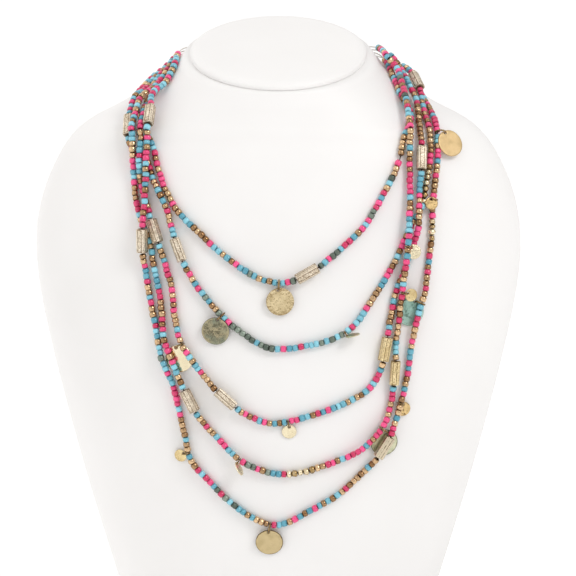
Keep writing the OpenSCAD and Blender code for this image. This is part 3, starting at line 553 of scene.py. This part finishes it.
def station(k, name):
    """How far along strand k a tube or a jump ring sits."""
    kind, number = name.split("_")
    s = np.arange(0, STRANDS[k][2][-1], 0.1)
    p = place(k, s)[0]
    if kind == "tube":
        _, x, z = TUBES[int(number) - 1]
        away = np.hypot(p[:, 0] - x, p[:, 2] - z) + FAR * (p[:, 1] > BEHIND_Y)
    else:
        away = np.linalg.norm(p - middle_of(f"{kind}_ring_{number}"), axis=1)
    return s[np.argmin(away)]


def stretches(k):
    loop, _, run = STRANDS[k]
    half = len(loop) // 2
    behind = loop[:, 1] > BEADS_END
    start = max(run[:half][behind[:half]]) + END_GAP
    stop = min(run[half:][behind[half:]]) - END_GAP
    cuts = [start]
    for name in ORDER[k]:
        at, clear = station(k, name), CLEAR[name.split("_")[0]]
        cuts += [at - clear, at + clear]
    return np.array(cuts + [stop]).reshape(-1, 2)


for k in ORDER:
    spans = stretches(k)
    pitch = [(b - a) / len(row) for (a, b), row in zip(spans, CHART[k])]
    print("strand", k, "beads", sum(map(len, CHART[k])), "pitch mm", np.round(pitch, 2))

# %% [markdown]
# ## One seed bead and one nugget
# A seed bead is a slice of glass tube melted round at its edges, a little shorter than it is
# wide, with a hole along it. There are hundreds, so each has only seven rings of ten faces.
# The gold nuggets are lumps of the same size with an uneven skin. Both are turned outlines; the
# nugget's points are then pushed in and out. A value called along, from the middle to the ends
# of the bead and highest in the hole, goes with the mesh; the finishes use it for painted shade
# at the ends and in the hole.

# %% Bead and nugget shapes
def turned_bead(name, outline, sides, lumps=0.0):
    points, faces = [], []
    for r, z in outline:
        for a in around(sides):
            push = 1 + lumps * noise.noise(Vector((3 * math.cos(a), 3 * math.sin(a), 2.3 * z)))
            points.append((r * push * math.cos(a), r * push * math.sin(a), z))
    rings = len(outline)
    for i in range(rings):
        for j in range(sides):
            faces.append((i * sides + j, i * sides + (j + 1) % sides,
                          (i + 1) % rings * sides + (j + 1) % sides,
                          (i + 1) % rings * sides + j))
    made = piece_of(name, points, faces, satin)
    along = made.data.attributes.new("along", "FLOAT", "POINT")
    # Points on the hole get 1.4, which the finishes turn into their darkest painted shade.
    along.data.foreach_set("value", [abs(p[2]) if math.hypot(p[0], p[1]) > 0.5 else 1.4
                                     for p in points])
    return made


seed_shape = turned_bead("seed_shape", [(0.36, -0.84), (0.75, -1.0), (0.97, -0.62), (1.0, 0.0),
                                        (0.97, 0.62), (0.75, 1.0), (0.36, 0.84)], 10)
nugget_shape = turned_bead("nugget_shape", [(0.30, -0.70), (0.66, -0.98), (0.92, -0.45),
                                            (0.96, 0.2), (0.7, 0.92), (0.30, 0.72)], 9, 0.42)
print("faces a bead:", len(seed_shape.data.polygons))

# %% [markdown]
# ## Finishes of the beads
# Pink and turquoise are opaque dyed glass: strong colour and a soft gloss. Every bead is painted
# a little darker towards its ends and in its hole, as painted shade where one bead meets the next.
# No two are quite alike, so each bead carries a number called tone that moves its colour. Bronze
# and grey-green are coated glass that shines like metal. Nuggets are pale bright gold. One recipe
# serves them all, with a dark and a light colour for each.

# %% Bead finishes
END_SHADE = 0.35


def bead_finish(name, dark, light, metallic, rough, coat, speck=0.25):
    made, tree, skin = finish_of(name, Metallic=metallic, Coat_Weight=coat, Coat_Roughness=0.15)
    where = node(tree, "ShaderNodeTexCoord").outputs["Object"]
    tone, along = [node(tree, "ShaderNodeAttribute", attribute_name=key).outputs["Fac"]
                   for key in ("tone", "along")]
    patch = cloud_of(tree, where, 700.0, 4.0)
    spread = reckon(tree, "MULTIPLY_ADD", patch, speck * 2, -speck)
    level = reckon(tree, "ADD", tone, spread, use_clamp=True)
    # Painted shade: towards the ends and in the hole, the colour goes to END_SHADE times the dark
    # colour.
    edge = ranged(tree, along, 0.45, 1.1, 0.0, 0.5)
    painted_shade_colour = blend(tree, edge, blend(tree, level, dark, light),
                 tuple(END_SHADE * c for c in dark))
    matt = ranged(tree, patch, 0.3, 0.7, rough - 0.07, rough + 0.09)
    clothe(tree, skin, painted_shade_colour, matt, cloud_of(tree, where, 1500.0, 2.0), 0.25, 0.0003)
    return made


FINISHES = {
    "t": bead_finish("turquoise_glass", (0.07, 0.32, 0.43), (0.29, 0.69, 0.82), 0.0, 0.30, 0.5),
    "p": bead_finish("pink_glass", (0.62, 0.014, 0.10), (1.0, 0.085, 0.30), 0.0, 0.30, 0.5),
    "b": bead_finish("bronze_coat", (0.29, 0.155, 0.07), (0.82, 0.58, 0.34), 1.0, 0.27, 0.0, 0.4),
    "g": bead_finish("grey_green_coat", (0.10, 0.13, 0.105), (0.29, 0.35, 0.29), 0.6, 0.40, 0.0),
    "n": bead_finish("nugget_gold", (0.40, 0.26, 0.10), (1.0, 0.88, 0.62), 1.0, 0.28, 0.0, 0.7)}
# Painted shade: the thread among the beads is painted dark brown for the shade in the gaps between
# beads; behind the neck it takes the pale cord colour.
SHADED_THREAD = bead_finish("thread_painted_dark", (0.05, 0.025, 0.015), (0.12, 0.06, 0.035), 0.0, 0.8, 0.0)
PALE_CORD = bead_finish("pale_cord", (0.62, 0.58, 0.53), (0.74, 0.71, 0.67), 0.0, 0.8, 0.0)
LETTERS = "tpbgn"
THREADED, BEHIND = -1, -2
print("bead finishes:", [m.name for m in FINISHES.values()])

# %% [markdown]
# ## Stringing by Geometry Nodes
# Hundreds of beads that follow a path are what Geometry Nodes are for. The mesh that goes in is
# a plan: one loose point for each bead with its axis, its share of the length and its letter as
# a number, and a line of edges for the thread. The tree turns a bead to its axis, gives it a
# random spin, a slight tilt and a size of its own, and puts it on the point; the line becomes a
# thin round thread. Among the beads the thread is painted dark brown, as painted shade in the gaps
# between beads, and behind the neck it is a pale cord. Sizes are inputs, and the seed is fixed,
# so every run strings the same.

# %% The stringing tree
LARGEST, FULL_SPIN, THREAD_SIDES = 1.08, 6.28, 6
string_tree = bpy.data.node_groups.new("string_beads", "GeometryNodeTree")


def socket_in(name, kind, value):
    made = string_tree.interface.new_socket(name, in_out="INPUT", socket_type="NodeSocket" + kind)
    if value is not None:
        made.default_value = value
    return made.identifier


INPUT = {name: socket_in(name, kind, value) for name, kind, value in (
    ("Plan", "Geometry", None), ("Bead", "Object", None), ("Nugget", "Object", None),
    ("Bead radius", "Float", BEAD / 2000), ("Size spread", "Float", 0.06),
    ("Tilt", "Float", 0.14), ("Thread radius", "Float", 0.00035), ("Seed", "Int", 1))}
string_tree.interface.new_socket("Strand", in_out="OUTPUT", socket_type="NodeSocketGeometry")
plan = node(string_tree, "NodeGroupInput").outputs


def step(kind, inputs, **props):
    return node(string_tree, kind, inputs, **props).outputs[0]


def reading(name, kind):
    return node(string_tree, "GeometryNodeInputNamedAttribute", {"Name": name},
                data_type=kind).outputs["Attribute"]


def chance(kind, low, high, shift):
    """A random value between low and high, with its own shift of the seed."""
    seed = reckon(string_tree, "ADD", plan["Seed"], float(shift))
    made = node(string_tree, "FunctionNodeRandomValue", {"Seed": seed}, data_type=kind)
    sockets = [s for s in made.inputs if s.name in ("Min", "Max") and s.enabled]
    for s, value in zip(sockets, (low, high)):
        if isinstance(value, bpy.types.NodeSocket):
            string_tree.links.new(value, s)
        else:
            s.default_value = value
    return next(s for s in made.outputs if s.enabled)


def is_kind(number, operation="EQUAL"):
    made = node(string_tree, "FunctionNodeCompare", data_type="INT", operation=operation)
    sockets = [s for s in made.inputs if s.enabled]
    string_tree.links.new(reading("letter", "INT"), sockets[0])
    sockets[1].default_value = number
    return made.outputs[0]


print("inputs of the tree:", list(INPUT))

# %% Size, turn and tone of each bead
less = reckon(string_tree, "SUBTRACT", 1.0, plan["Size spread"])
wide = reckon(string_tree, "MULTIPLY", chance("FLOAT", less, LARGEST, 1), plan["Bead radius"])
size = step("ShaderNodeCombineXYZ", {0: wide, 1: wide, 2: reading("share", "FLOAT")})
facing = step("FunctionNodeAlignRotationToVector", {"Vector": reading("axis", "FLOAT_VECTOR")},
              axis="Z")
back_tilt = reckon(string_tree, "MULTIPLY", plan["Tilt"], -1.0)
low = step("ShaderNodeCombineXYZ", {0: back_tilt, 1: back_tilt, 2: 0.0})
high = step("ShaderNodeCombineXYZ", {0: plan["Tilt"], 1: plan["Tilt"], 2: FULL_SPIN})
wobble = step("FunctionNodeEulerToRotation", {"Euler": chance("FLOAT_VECTOR", low, high, 2)})
turn = step("FunctionNodeRotateRotation", {0: facing, 1: wobble}, rotation_space="LOCAL")
toned = step("GeometryNodeStoreNamedAttribute", {"Geometry": plan["Plan"], "Name": "tone",
             "Value": chance("FLOAT", 0.0, 1.0, 3)}, data_type="FLOAT", domain="POINT")
print("stringing tree so far:", len(string_tree.nodes), "nodes")

# %% Beads on their points, and the thread
gathered = node(string_tree, "GeometryNodeJoinGeometry")
NUGGET = LETTERS.index("n")
for source, operation in (("Bead", "NOT_EQUAL"), ("Nugget", "EQUAL")):
    shape = node(string_tree, "GeometryNodeObjectInfo", {"Object": plan[source]})
    keep = step("FunctionNodeBooleanMath", {0: is_kind(NUGGET, operation),
                1: is_kind(0, "GREATER_EQUAL")}, operation="AND")
    strung = step("GeometryNodeInstanceOnPoints", {"Points": toned, "Selection": keep,
                  "Instance": shape.outputs["Geometry"], "Rotation": turn, "Scale": size})
    string_tree.links.new(strung, gathered.inputs[0])
line = step("GeometryNodeMeshToCurve", {"Mesh": plan["Plan"]})
circle = step("GeometryNodeCurvePrimitiveCircle", {"Resolution": THREAD_SIDES,
              "Radius": plan["Thread radius"]})
thread = step("GeometryNodeCurveToMesh", {"Curve": line, "Profile Curve": circle})
string_tree.links.new(thread, gathered.inputs[0])
flow = step("GeometryNodeRealizeInstances", {0: gathered.outputs[0]})
flow = step("GeometryNodeSetMaterial", {"Geometry": flow, "Material": SHADED_THREAD})
for number, finish in [(BEHIND, PALE_CORD), *enumerate(FINISHES[c] for c in LETTERS)]:
    flow = step("GeometryNodeSetMaterial", {"Geometry": flow, "Selection": is_kind(number),
                "Material": finish})
node(string_tree, "NodeGroupOutput", {0: flow})
print("stringing tree:", len(string_tree.nodes), "nodes")

# %% A plan of each strand
UNEVEN, ASIDE, HALF_SHARE = 0.34, 0.22, 0.49
THREAD_STEP, BROWN_BEFORE, BROWN_AFTER = 2.5, 3, 6


def bead_plan(k):
    """For each bead its place along strand k, its share of the length and its letter."""
    rng = np.random.default_rng(40 + k)
    rows = []
    for (start, stop), letters in zip(stretches(k), CHART[k]):
        shares = 1 + UNEVEN * (rng.random(len(letters)) - 0.5)
        ends = start + (stop - start) * np.concatenate([[0], np.cumsum(shares) / shares.sum()])
        rows += [((a + b) / 2, b - a, LETTERS.index(c))
                 for a, b, c in zip(ends, ends[1:], letters) if c != "-"]
    return np.array(rows).T


def plan_mesh(k, at, share, letter):
    line_at = np.arange(0, STRANDS[k][2][-1] - 1, THREAD_STEP)
    middle, normal = place(k, at)
    aside = np.random.default_rng(60 + k).uniform(-ASIDE, ASIDE, (len(at), 1))
    middle = middle + aside * np.cross(heading(k, at), normal)
    points = np.concatenate([middle, place(k, line_at)[0]]) / 1000
    beads, count = len(at), len(line_at)
    edges = [(beads + i, beads + (i + 1) % count) for i in range(count)]
    mesh = bpy.data.meshes.new(f"plan_{k}")
    mesh.from_pydata([tuple(p) for p in points], edges, [])
    axis = np.concatenate([heading(k, at), np.tile((0.0, 0.0, 1.0), (count, 1))])
    share = np.concatenate([share * HALF_SHARE / 1000, np.zeros(count)])
    # Thread from just before the first bead to just after the last takes the dark thread colour, the
    # painted shade of the gaps.
    brown = (line_at > at[0] - BROWN_BEFORE) & (line_at < at[-1] + BROWN_AFTER)
    letter = np.concatenate([letter, np.where(brown, THREADED, BEHIND)]).astype(np.int32)
    for name, kind, field, values in (("axis", "FLOAT_VECTOR", "vector", axis.ravel()),
                                      ("share", "FLOAT", "value", share),
                                      ("letter", "INT", "value", letter)):
        mesh.attributes.new(name, kind, "POINT").data.foreach_set(field, values)
    return mesh


print("beads in all:", sum(bead_plan(k).shape[1] for k in ORDER))

# %% String the five strands
def keep_used_slots(mesh):
    index = np.zeros(len(mesh.polygons), dtype=np.int32)
    mesh.polygons.foreach_get("material_index", index)
    used, fresh = np.unique(index, return_inverse=True)
    finishes = [mesh.materials[i] for i in used]
    mesh.materials.clear()
    for finish in finishes:
        mesh.materials.append(finish)
    mesh.polygons.foreach_set("material_index", fresh.astype(np.int32))


def strung_strand(k):
    at, share, letter = bead_plan(k)
    source = bpy.data.objects.new(f"plan_{k}", plan_mesh(k, at, share, letter))
    scene.collection.objects.link(source)
    stringing = source.modifiers.new("stringing", "NODES")
    stringing.node_group = string_tree
    for name, value in (("Bead", seed_shape), ("Nugget", nugget_shape), ("Seed", 10 * k)):
        stringing[INPUT[name]] = value
    bpy.context.view_layer.update()
    ready = source.evaluated_get(bpy.context.evaluated_depsgraph_get())
    made = bpy.data.objects.new(f"beads_{k}", bpy.data.meshes.new_from_object(ready))
    scene.collection.objects.link(made)
    bpy.data.objects.remove(source)
    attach(made, "root")
    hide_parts(f"strand_{k}")
    made.data.polygons.foreach_set("use_smooth", [True] * len(made.data.polygons))
    keep_used_slots(made.data)
    print(made.name, len(at), "beads,", len(made.data.polygons), "faces,",
          [m.name for m in made.data.materials])


for k in ORDER:
    strung_strand(k)
for shape in (seed_shape, nugget_shape):
    bpy.data.objects.remove(shape)

# %% [markdown]
# ## Antique metal
# The tubes, coins and discs are cast base metal with a pale gold wash, darkened and rubbed back,
# so the hollows stay brown and the high places shine. Each mesh carries a number called raised
# for its high and low places, and a place on its own face called flat, for scratches that follow
# the piece. Every metal is a variation of one recipe: its light, dark and tarnished colours, how
# dirty and how rough it is, how strong, long and fine its marks are, the scale of its spots and
# how deep the marks feel.

# %% Metal recipe
def metal(name, light, dark, tarnish, dirt=0.5, rough=0.3, marks=0.3, long_marks=1.0, fine=3.2,
          spots=500.0, steep=0.5):
    made, tree, skin = finish_of(name, Metallic=1.0)
    where = node(tree, "ShaderNodeTexCoord").outputs["Object"]
    flat = node(tree, "ShaderNodeAttribute", attribute_name="flat").outputs["Vector"]
    raised = node(tree, "ShaderNodeAttribute", attribute_name="raised").outputs["Fac"]
    drawn = node(tree, "ShaderNodeMapping", {"Vector": flat, "Scale": (1.0, long_marks, 1.0)})
    grain = cloud_of(tree, drawn.outputs[0], fine, 3.0, 0.6)
    low = reckon(tree, "MULTIPLY_ADD", raised, -0.55, 0.5)
    both = reckon(tree, "ADD", cloud_of(tree, where, spots, 5.0, 0.62), low)
    mixed = reckon(tree, "MULTIPLY_ADD", grain, marks, both)
    edge = marks / 2 - dirt / 2
    grime = ranged(tree, mixed, 1.22 + edge, 1.42 + edge, way="SMOOTHSTEP")
    veil = ranged(tree, cloud_of(tree, where, 190.0, 3.0), 0.42, 0.66)
    shown = blend(tree, grime, blend(tree, veil, light, tarnish), dark)
    dull = ranged(tree, mixed, 0.7, 1.5, rough - 0.08, rough + 0.3)
    clothe(tree, skin, shown, dull, grain, steep, 0.0003)
    return made


tube_gold = metal("hammered_gold", (0.97, 0.87, 0.71), (0.27, 0.19, 0.12), (0.76, 0.66, 0.51),
                  dirt=0.54, rough=0.27, marks=0.6, spots=2100.0, steep=0.8)
warm_gold = metal("warm_hammered_gold", (0.96, 0.80, 0.48), (0.30, 0.19, 0.08),
                  (0.76, 0.60, 0.32), rough=0.25, marks=0.6, spots=2100.0, steep=0.8)
plain_gold = metal("engraved_gold", (0.68, 0.58, 0.42), (0.16, 0.12, 0.08), (0.58, 0.50, 0.37),
                   dirt=0.1, rough=0.24, marks=0.1, long_marks=0.1, fine=1.0, steep=0.2)
bronze = metal("ring_bronze", (0.40, 0.27, 0.12), (0.07, 0.04, 0.02), (0.27, 0.18, 0.08),
               marks=0.0, spots=900.0, steep=0.0)
bar_gold = metal("bar_gold", (0.70, 0.58, 0.36), (0.20, 0.14, 0.07), (0.54, 0.46, 0.30),
                 dirt=0.4, rough=0.34, marks=0.0, steep=0.0)
print("tubes, rings and bars:", [m.name for m in (tube_gold, warm_gold, plain_gold, bronze,
                                                  bar_gold)])

# %% [markdown]
# ## The square tubes
# Each tube bead is a square bar with bevelled corners, drilled through. A shallow line runs
# along the edges of each face and the field inside is speckled all over by fine hammering. A
# bump map alone would leave the outline too clean, so the line and the slow waves of the face are
# real, on a net of small faces, and the speckle is bump and colour. Two tubes at the lower right
# are a warmer gold, and the one below them is plain, with two long grooves. The solid gives the
# middle, the axis and the roll of each.

# %% Where a solid lies
RIM_FROM = 2.5


def solid_of(name):
    """A solid's points in mm, their mean and their three main directions."""
    co = np.array([v.co[:] for v in NODES[name].data.vertices]) * 1000
    middle = co.mean(axis=0)
    return co, middle, np.linalg.svd(co - middle, full_matrices=False)[2]


def midway(values):
    return (values.min() + values.max()) / 2


def tube_pose(name):
    co, middle, ways = solid_of(name)
    axis = ways[0]
    middle = middle + axis * midway((co - middle) @ axis)
    side = unit(np.cross(axis, (0.3, 0.9, 0.1)))
    other = np.cross(axis, side)
    u, v = (co - middle) @ side, (co - middle) @ other
    rim = np.hypot(u, v) > RIM_FROM
    # Four times the angle is alike at all four corners, so its mean gives the roll.
    roll = (np.angle(np.mean(np.exp(4j * np.arctan2(v[rim], u[rim])))) - math.pi) / 4
    across = side * math.cos(roll) + other * math.sin(roll)
    return middle, across, np.cross(axis, across), axis


print("tube_1 middle in mm:", np.round(tube_pose("tube_1")[0], 1))

# %% Tube net and relief
FLAT_CUTS, BEVEL_CUTS, LONG_CUTS = 9, 3, 40
BORE, FLARE, BEVEL, FRAME = 1.0, 0.15, 1.2, 0.35
HALF_WIDE, HALF_LONG, HALF_FACE = TUBE_WIDE / 2, TUBE_LONG / 2, TUBE_WIDE / 2 - BEVEL
BEVEL_FLAT = 0.26 * BEVEL * (1 - math.sqrt(0.5))
ROUND_END = ((0.0, 0.231), (0.12, 0.088))
ON_BEVEL = 2.0


def tube_loop():
    """Points round a tube, each with its outward way and its place across the face."""
    loop = []
    for turn, (cos, sin) in enumerate(((1, 0), (0, 1), (-1, 0), (0, -1))):
        for s in np.linspace(-1, 1, FLAT_CUTS):
            x, y = HALF_WIDE, HALF_FACE * s
            loop.append((x * cos - y * sin, x * sin + y * cos, cos, sin, s))
        for i in range(1, BEVEL_CUTS):
            part = i / BEVEL_CUTS * math.pi / 2
            x = HALF_WIDE - BEVEL * (1 - math.cos(part)) - BEVEL_FLAT
            y = HALF_WIDE - BEVEL * (1 - math.sin(part)) - BEVEL_FLAT
            a = part + turn * math.pi / 2
            loop.append((x * cos - y * sin, x * sin + y * cos, math.cos(a), math.sin(a),
                         ON_BEVEL))
    return np.array(loop)


def struck(s, z, seed, plain):
    """Height of a tube's face at s across, -1 to 1, and z along, in mm."""
    if s == ON_BEVEL:
        return 0.03 * noise.noise(Vector((z * 0.9, seed, 3.0)))
    if plain:
        groove = math.exp(-((abs(s) - 0.45) / 0.14)**2)
        return -0.13 * groove if abs(z) < HALF_LONG - 0.7 else 0.0
    edge = min(HALF_FACE * (1 - abs(s)), HALF_LONG - abs(z))
    frame_line = math.exp(-((edge - FRAME) / 0.25)**2)
    return 0.015 * noise.noise(Vector((s * 1.2, z * 0.7, seed))) - 0.08 * frame_line


print("points round a tube:", len(tube_loop()))

# %% Tubes
PLAIN_END, FIRST_CUT = 0.2, 0.4


def marked(made, raised, flat):
    made.data.attributes.new("raised", "FLOAT", "POINT").data.foreach_set("value", raised)
    made.data.attributes.new("flat", "FLOAT_VECTOR", "POINT").data.foreach_set(
        "vector", np.array(flat).ravel())


def tube_piece(name, finish, plain=False):
    middle, across, side, axis = tube_pose(name)
    seed = 3.7 * int(name.split("_")[1])
    loop = tube_loop()
    count = len(loop)
    ends = [(HALF_LONG - deep, inset) for deep, inset in ROUND_END]
    reach = HALF_LONG - FIRST_CUT
    levels = [(-z, inset) for z, inset in ends]
    levels += [(z, 0.0) for z in np.linspace(-reach, reach, LONG_CUTS)] + ends[::-1]
    points, raised, flat = [], [], []
    for z, inset in levels:
        for x, y, nx, ny, s in loop:
            push = struck(s, z, seed, plain) if abs(z) < HALF_LONG - PLAIN_END else 0.0
            x2, y2 = x + nx * (push - inset), y + ny * (push - inset)
            points.append(middle + across * x2 + side * y2 + axis * z)
            raised.append(max(-1, min(1, push * 6 + (0.3 if 0.95 < abs(s) < ON_BEVEL else 0))))
            flat.append((s + 4 * nx + 7 * ny + seed, z * 0.6, seed))
    bore = [(HALF_LONG, BORE + FLARE), (HALF_LONG - FLARE, BORE), (0.0, BORE),
            (FLARE - HALF_LONG, BORE), (-HALF_LONG, BORE + FLARE)]
    for z, r in bore:
        for x, y in loop[:, :2]:
            a = math.atan2(y, x)
            points.append(middle + across * r * math.cos(a) + side * r * math.sin(a) + axis * z)
            raised.append(-1.0)
            flat.append((a, z, seed))
    rings = len(levels) + len(bore)
    faces = lathe_faces(rings, count)
    faces += [((rings - 1) * count + j, (rings - 1) * count + (j + 1) % count, (j + 1) % count, j)
              for j in range(count)]
    made = piece_of(name + "_struck", np.array(points) / 1000, faces, finish)
    marked(made, raised, flat)
    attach(made, "root")
    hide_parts(name)
    return made


PLAIN_TUBE, WARM_TUBES = 13, (7, 10)
tubes = []
for i in range(1, 14):
    gold = plain_gold if i == PLAIN_TUBE else warm_gold if i in WARM_TUBES else tube_gold
    tubes.append(tube_piece(f"tube_{i}", gold, i == PLAIN_TUBE))
print("tubes:", len(tubes), "faces each:", len(tubes[0].data.polygons))

# %% [markdown]
# ## Coins and discs
# The coins are thin blanks with one hole near the rim. Each has its own face: hammered like
# bark, brushed, darker at the rim, or smooth and bright. None has a picture. A flat plate with
# an uneven skin is easiest as a net of points inside the outline: the net is cut round the rim
# and the hole by a triangulation, lifted by a height rule on both faces, and joined at the edges.

# %% Net of a plate
RIM_CUTS, HOLE_CUTS, HOLE_R = 72, 20, 0.9
EDGE_STEP, ROW = 0.28, 0.866


def plate_pose(name):
    co, middle, ways = solid_of(name)
    normal = ways[2] if ways[2][1] < 0 else -ways[2]
    u, v = ways[0], np.cross(normal, ways[0])
    middle = middle + u * midway((co - middle) @ u) + v * midway((co - middle) @ v)
    a, b = (co - middle) @ u, (co - middle) @ v
    away = np.hypot(a, b)
    radius = away.max()
    inner = away < radius * 0.97
    hole = middle + u * a[inner].mean() + v * b[inner].mean()
    up = unit(hole - middle)
    thick = np.ptp((co - middle) @ normal)
    middle = middle + normal * midway((co - middle) @ normal)
    return middle, np.cross(up, normal), up, normal, radius, np.linalg.norm(hole - middle), thick


def ring_of(radius, count, up=0.0):
    return [(radius * math.cos(a), up + radius * math.sin(a)) for a in around(count)]


def plate_net(radius, hole_at, step):
    edge = radius - EDGE_STEP
    inside = [(x, y) for x, y in ring_of(edge, RIM_CUTS)
              if math.hypot(x, y - hole_at) > HOLE_R + 0.15]
    reach = int(radius / step) + 2
    for i in range(-reach, reach + 1):
        for j in range(-reach, reach + 1):
            x, y = (i + 0.5 * (j % 2)) * step, j * step * ROW
            from_hole = math.hypot(x, y - hole_at)
            if math.hypot(x, y) < edge - step * 0.6 and from_hole > HOLE_R + step * 0.6:
                inside.append((x, y))
    flat = ring_of(radius, RIM_CUTS) + ring_of(HOLE_R, HOLE_CUTS, hole_at) + inside
    edges = [(i, (i + 1) % RIM_CUTS) for i in range(RIM_CUTS)]
    edges += [(RIM_CUTS + i, RIM_CUTS + (i + 1) % HOLE_CUTS) for i in range(HOLE_CUTS)]
    verts, _, tris, *_ = geometry.delaunay_2d_cdt([Vector(p) for p in flat], edges, [], 0, 1e-6)
    verts = np.array([v[:] for v in verts])
    keep = []
    for t in tris:
        x, y = verts[list(t)].mean(axis=0)
        if math.hypot(x, y) < radius and math.hypot(x, y - hole_at) > HOLE_R * 0.98:
            keep.append(list(t))
    return verts, keep


print("disc_1 radius in mm:", round(plate_pose("disc_1")[4], 2))

# %% Plates
EDGE_ROUND, EDGE_DROP = 0.25, 0.13


def plate_piece(name, finish, height, step=0.5):
    middle, right, up, normal, radius, hole_at, thick = plate_pose(name)
    verts, tris = plate_net(radius, hole_at, step)
    count = len(verts)
    seed = 5.1 * int(name.split("_")[1]) + (40 if name.startswith("disc") else 0)
    points, raised, flat = [], [], []
    for way in (1, -1):
        for x, y in verts:
            away = math.hypot(x, y)
            rim = min(radius - away, abs(math.hypot(x, y - hole_at) - HOLE_R)) / EDGE_ROUND
            lift, tone = height(x, y * way, away, radius, seed + way)
            soft = thick / 2 - EDGE_DROP * max(0.0, 1 - rim) + lift * min(1, rim)
            points.append(middle + right * x + up * y + normal * way * soft)
            raised.append(max(-1, min(1, tone)))
            flat.append((x, y, seed + 7 * way))
    faces = tris + [[count + i for i in reversed(t)] for t in tris]
    for start, total in ((0, RIM_CUTS), (RIM_CUTS, HOLE_CUTS)):
        for i in range(total):
            a, b = start + i, start + (i + 1) % total
            faces.append([a, b, count + b, count + a])
    made = piece_of(name + "_face", np.array(points) / 1000, faces, finish)
    marked(made, raised, flat)
    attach(made, "root")
    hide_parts(name)
    return made


print("corners of a plate on each face:", RIM_CUTS + HOLE_CUTS)

# %% Faces: each gives its height in mm and how light it is, from -1 to 1
def bark(x, y, away, radius, seed):
    a = noise.noise(Vector((x * 0.35, y * 1.5, seed)))
    b = noise.noise(Vector((x * 1.6 + y, y * 0.5 - x, seed + 5)))
    h = 0.5 * a + 0.5 * b
    return 0.07 * h, 0.8 * h + 0.12 - 0.3 * (away / radius)**3


def hammered(x, y, away, radius, seed):
    h = noise.noise(Vector((x * 0.9, y * 0.9, seed)))
    h += 0.5 * noise.noise(Vector((x * 2, y * 2, seed)))
    return 0.06 * h, 0.45 * h + 0.15


def smooth_face(x, y, away, radius, seed):
    h = noise.noise(Vector((x * 0.4, y * 0.4, seed)))
    return 0.03 * h, 0.3 + 0.3 * h


def dark_edged(x, y, away, radius, seed):
    edge = math.exp(-((radius - away) / 0.35)**2)
    h = noise.noise(Vector((x * 0.5, y * 0.5, seed)))
    return 0.02 * h - 0.03 * edge, 0.3 + 0.2 * h - 1.5 * edge


def rimmed(x, y, away, radius, seed):
    bright = math.exp(-((radius - away - EDGE_STEP) / 0.2)**2)
    edge = math.exp(-((radius - away) / 0.2)**2)
    h = noise.noise(Vector((x * 0.35, y * 0.35, seed)))
    return 0.05 * bright + 0.03 * h, 0.9 * bright - 0.9 * edge + 0.35 * h - 0.05


print("a hammered face at its middle in mm:", round(hammered(0, 0, 0, 5, 1)[0], 3))

# %% Coins
# After its colours each metal has: dirt, roughness, marks, their length, fineness, spots, depth
coin_looks = {
    1: (metal("bark_gold", (0.80, 0.67, 0.42), (0.40, 0.29, 0.15), (0.62, 0.50, 0.29),
              0.5, 0.3, 0.6, 0.3, 4.4, 1300.0, 0.8), bark),
    2: (metal("dark_antique", (0.48, 0.42, 0.27), (0.16, 0.15, 0.10), (0.28, 0.30, 0.22),
              0.5, 0.36, 0.8, 1.0, 2.3, 1900.0, 0.5), rimmed),
    3: (metal("brushed_gold", (0.60, 0.48, 0.27), (0.16, 0.11, 0.05), (0.52, 0.41, 0.22),
              0.12, 0.3, 0.3, 0.12, 2.4, 300.0, 0.35), dark_edged),
    4: (metal("bright_blank", (0.90, 0.80, 0.56), (0.34, 0.26, 0.14), (0.80, 0.70, 0.48),
              0.18, 0.16, 0.2, 1.0, 0.8, 300.0, 0.15), smooth_face),
    5: (metal("brushed_bronze", (0.70, 0.52, 0.28), (0.22, 0.14, 0.06), (0.60, 0.44, 0.23),
              0.2, 0.42, 0.4, 0.12, 2.4, 400.0, 0.35), smooth_face),
    6: (metal("teal_patina", (0.44, 0.65, 0.57), (0.20, 0.32, 0.26), (0.34, 0.52, 0.44),
              0.4, 0.42, 0.5, 0.15, 2.6, 500.0, 0.4), rimmed),
    7: (metal("green_gold", (0.64, 0.63, 0.44), (0.24, 0.24, 0.15), (0.46, 0.47, 0.32),
              0.45, 0.28, 0.4, 0.5, 2.4, 500.0, 0.5), dark_edged)}
coins = [plate_piece(f"coin_{i}", *look) for i, look in coin_looks.items()]
print("coins:", [len(c.data.polygons) for c in coins])

# %% Discs
DISC_STEP = 0.4
pale_disc = metal("pale_disc", (0.88, 0.78, 0.55), (0.32, 0.24, 0.13), (0.78, 0.68, 0.46),
                  0.3, 0.24, 0.3, 1.0, 3.0, 1200.0, 0.5)
gold_disc = metal("gold_disc", (0.86, 0.70, 0.38), (0.26, 0.17, 0.07), (0.66, 0.50, 0.25),
                  0.45, 0.24, 0.5, 1.0, 1.6, 900.0, 0.6)
dark_disc = metal("bronze_disc", (0.80, 0.58, 0.28), (0.20, 0.12, 0.05), (0.48, 0.34, 0.16),
                  0.55, 0.26, 0.6, 1.0, 1.5, 800.0, 0.7)
green_disc = metal("green_disc", (0.64, 0.60, 0.40), (0.18, 0.17, 0.10), (0.48, 0.47, 0.30),
                   0.3, 0.32, 0.3, 1.0, 3.0, 1200.0, 0.4)
disc_looks = {1: pale_disc, 2: gold_disc, 3: pale_disc, 4: gold_disc, 5: pale_disc,
              6: dark_disc, 7: dark_disc, 8: green_disc}
discs = [plate_piece(f"disc_{i}", look, hammered, DISC_STEP) for i, look in disc_looks.items()]
print("discs:", [len(d.data.polygons) for d in discs])

# %% [markdown]
# ## Rings, end bars and clasp
# The jump rings are bent from round wire that has gone dark. The end bars and the clasp at the
# nape are plain gold bars. Their solids already have the right shape, so they stay as they are
# and only get their finish.

# %% Finish the solids that stay
for name, solid in NODES.items():
    if "ring" in name or "bar" in name:
        solid.data.materials.clear()
        solid.data.materials.append(bronze if "ring" in name else bar_gold)
kept = [n for n, o in NODES.items() if not o.hide_render]
print("solids kept:", len(kept))
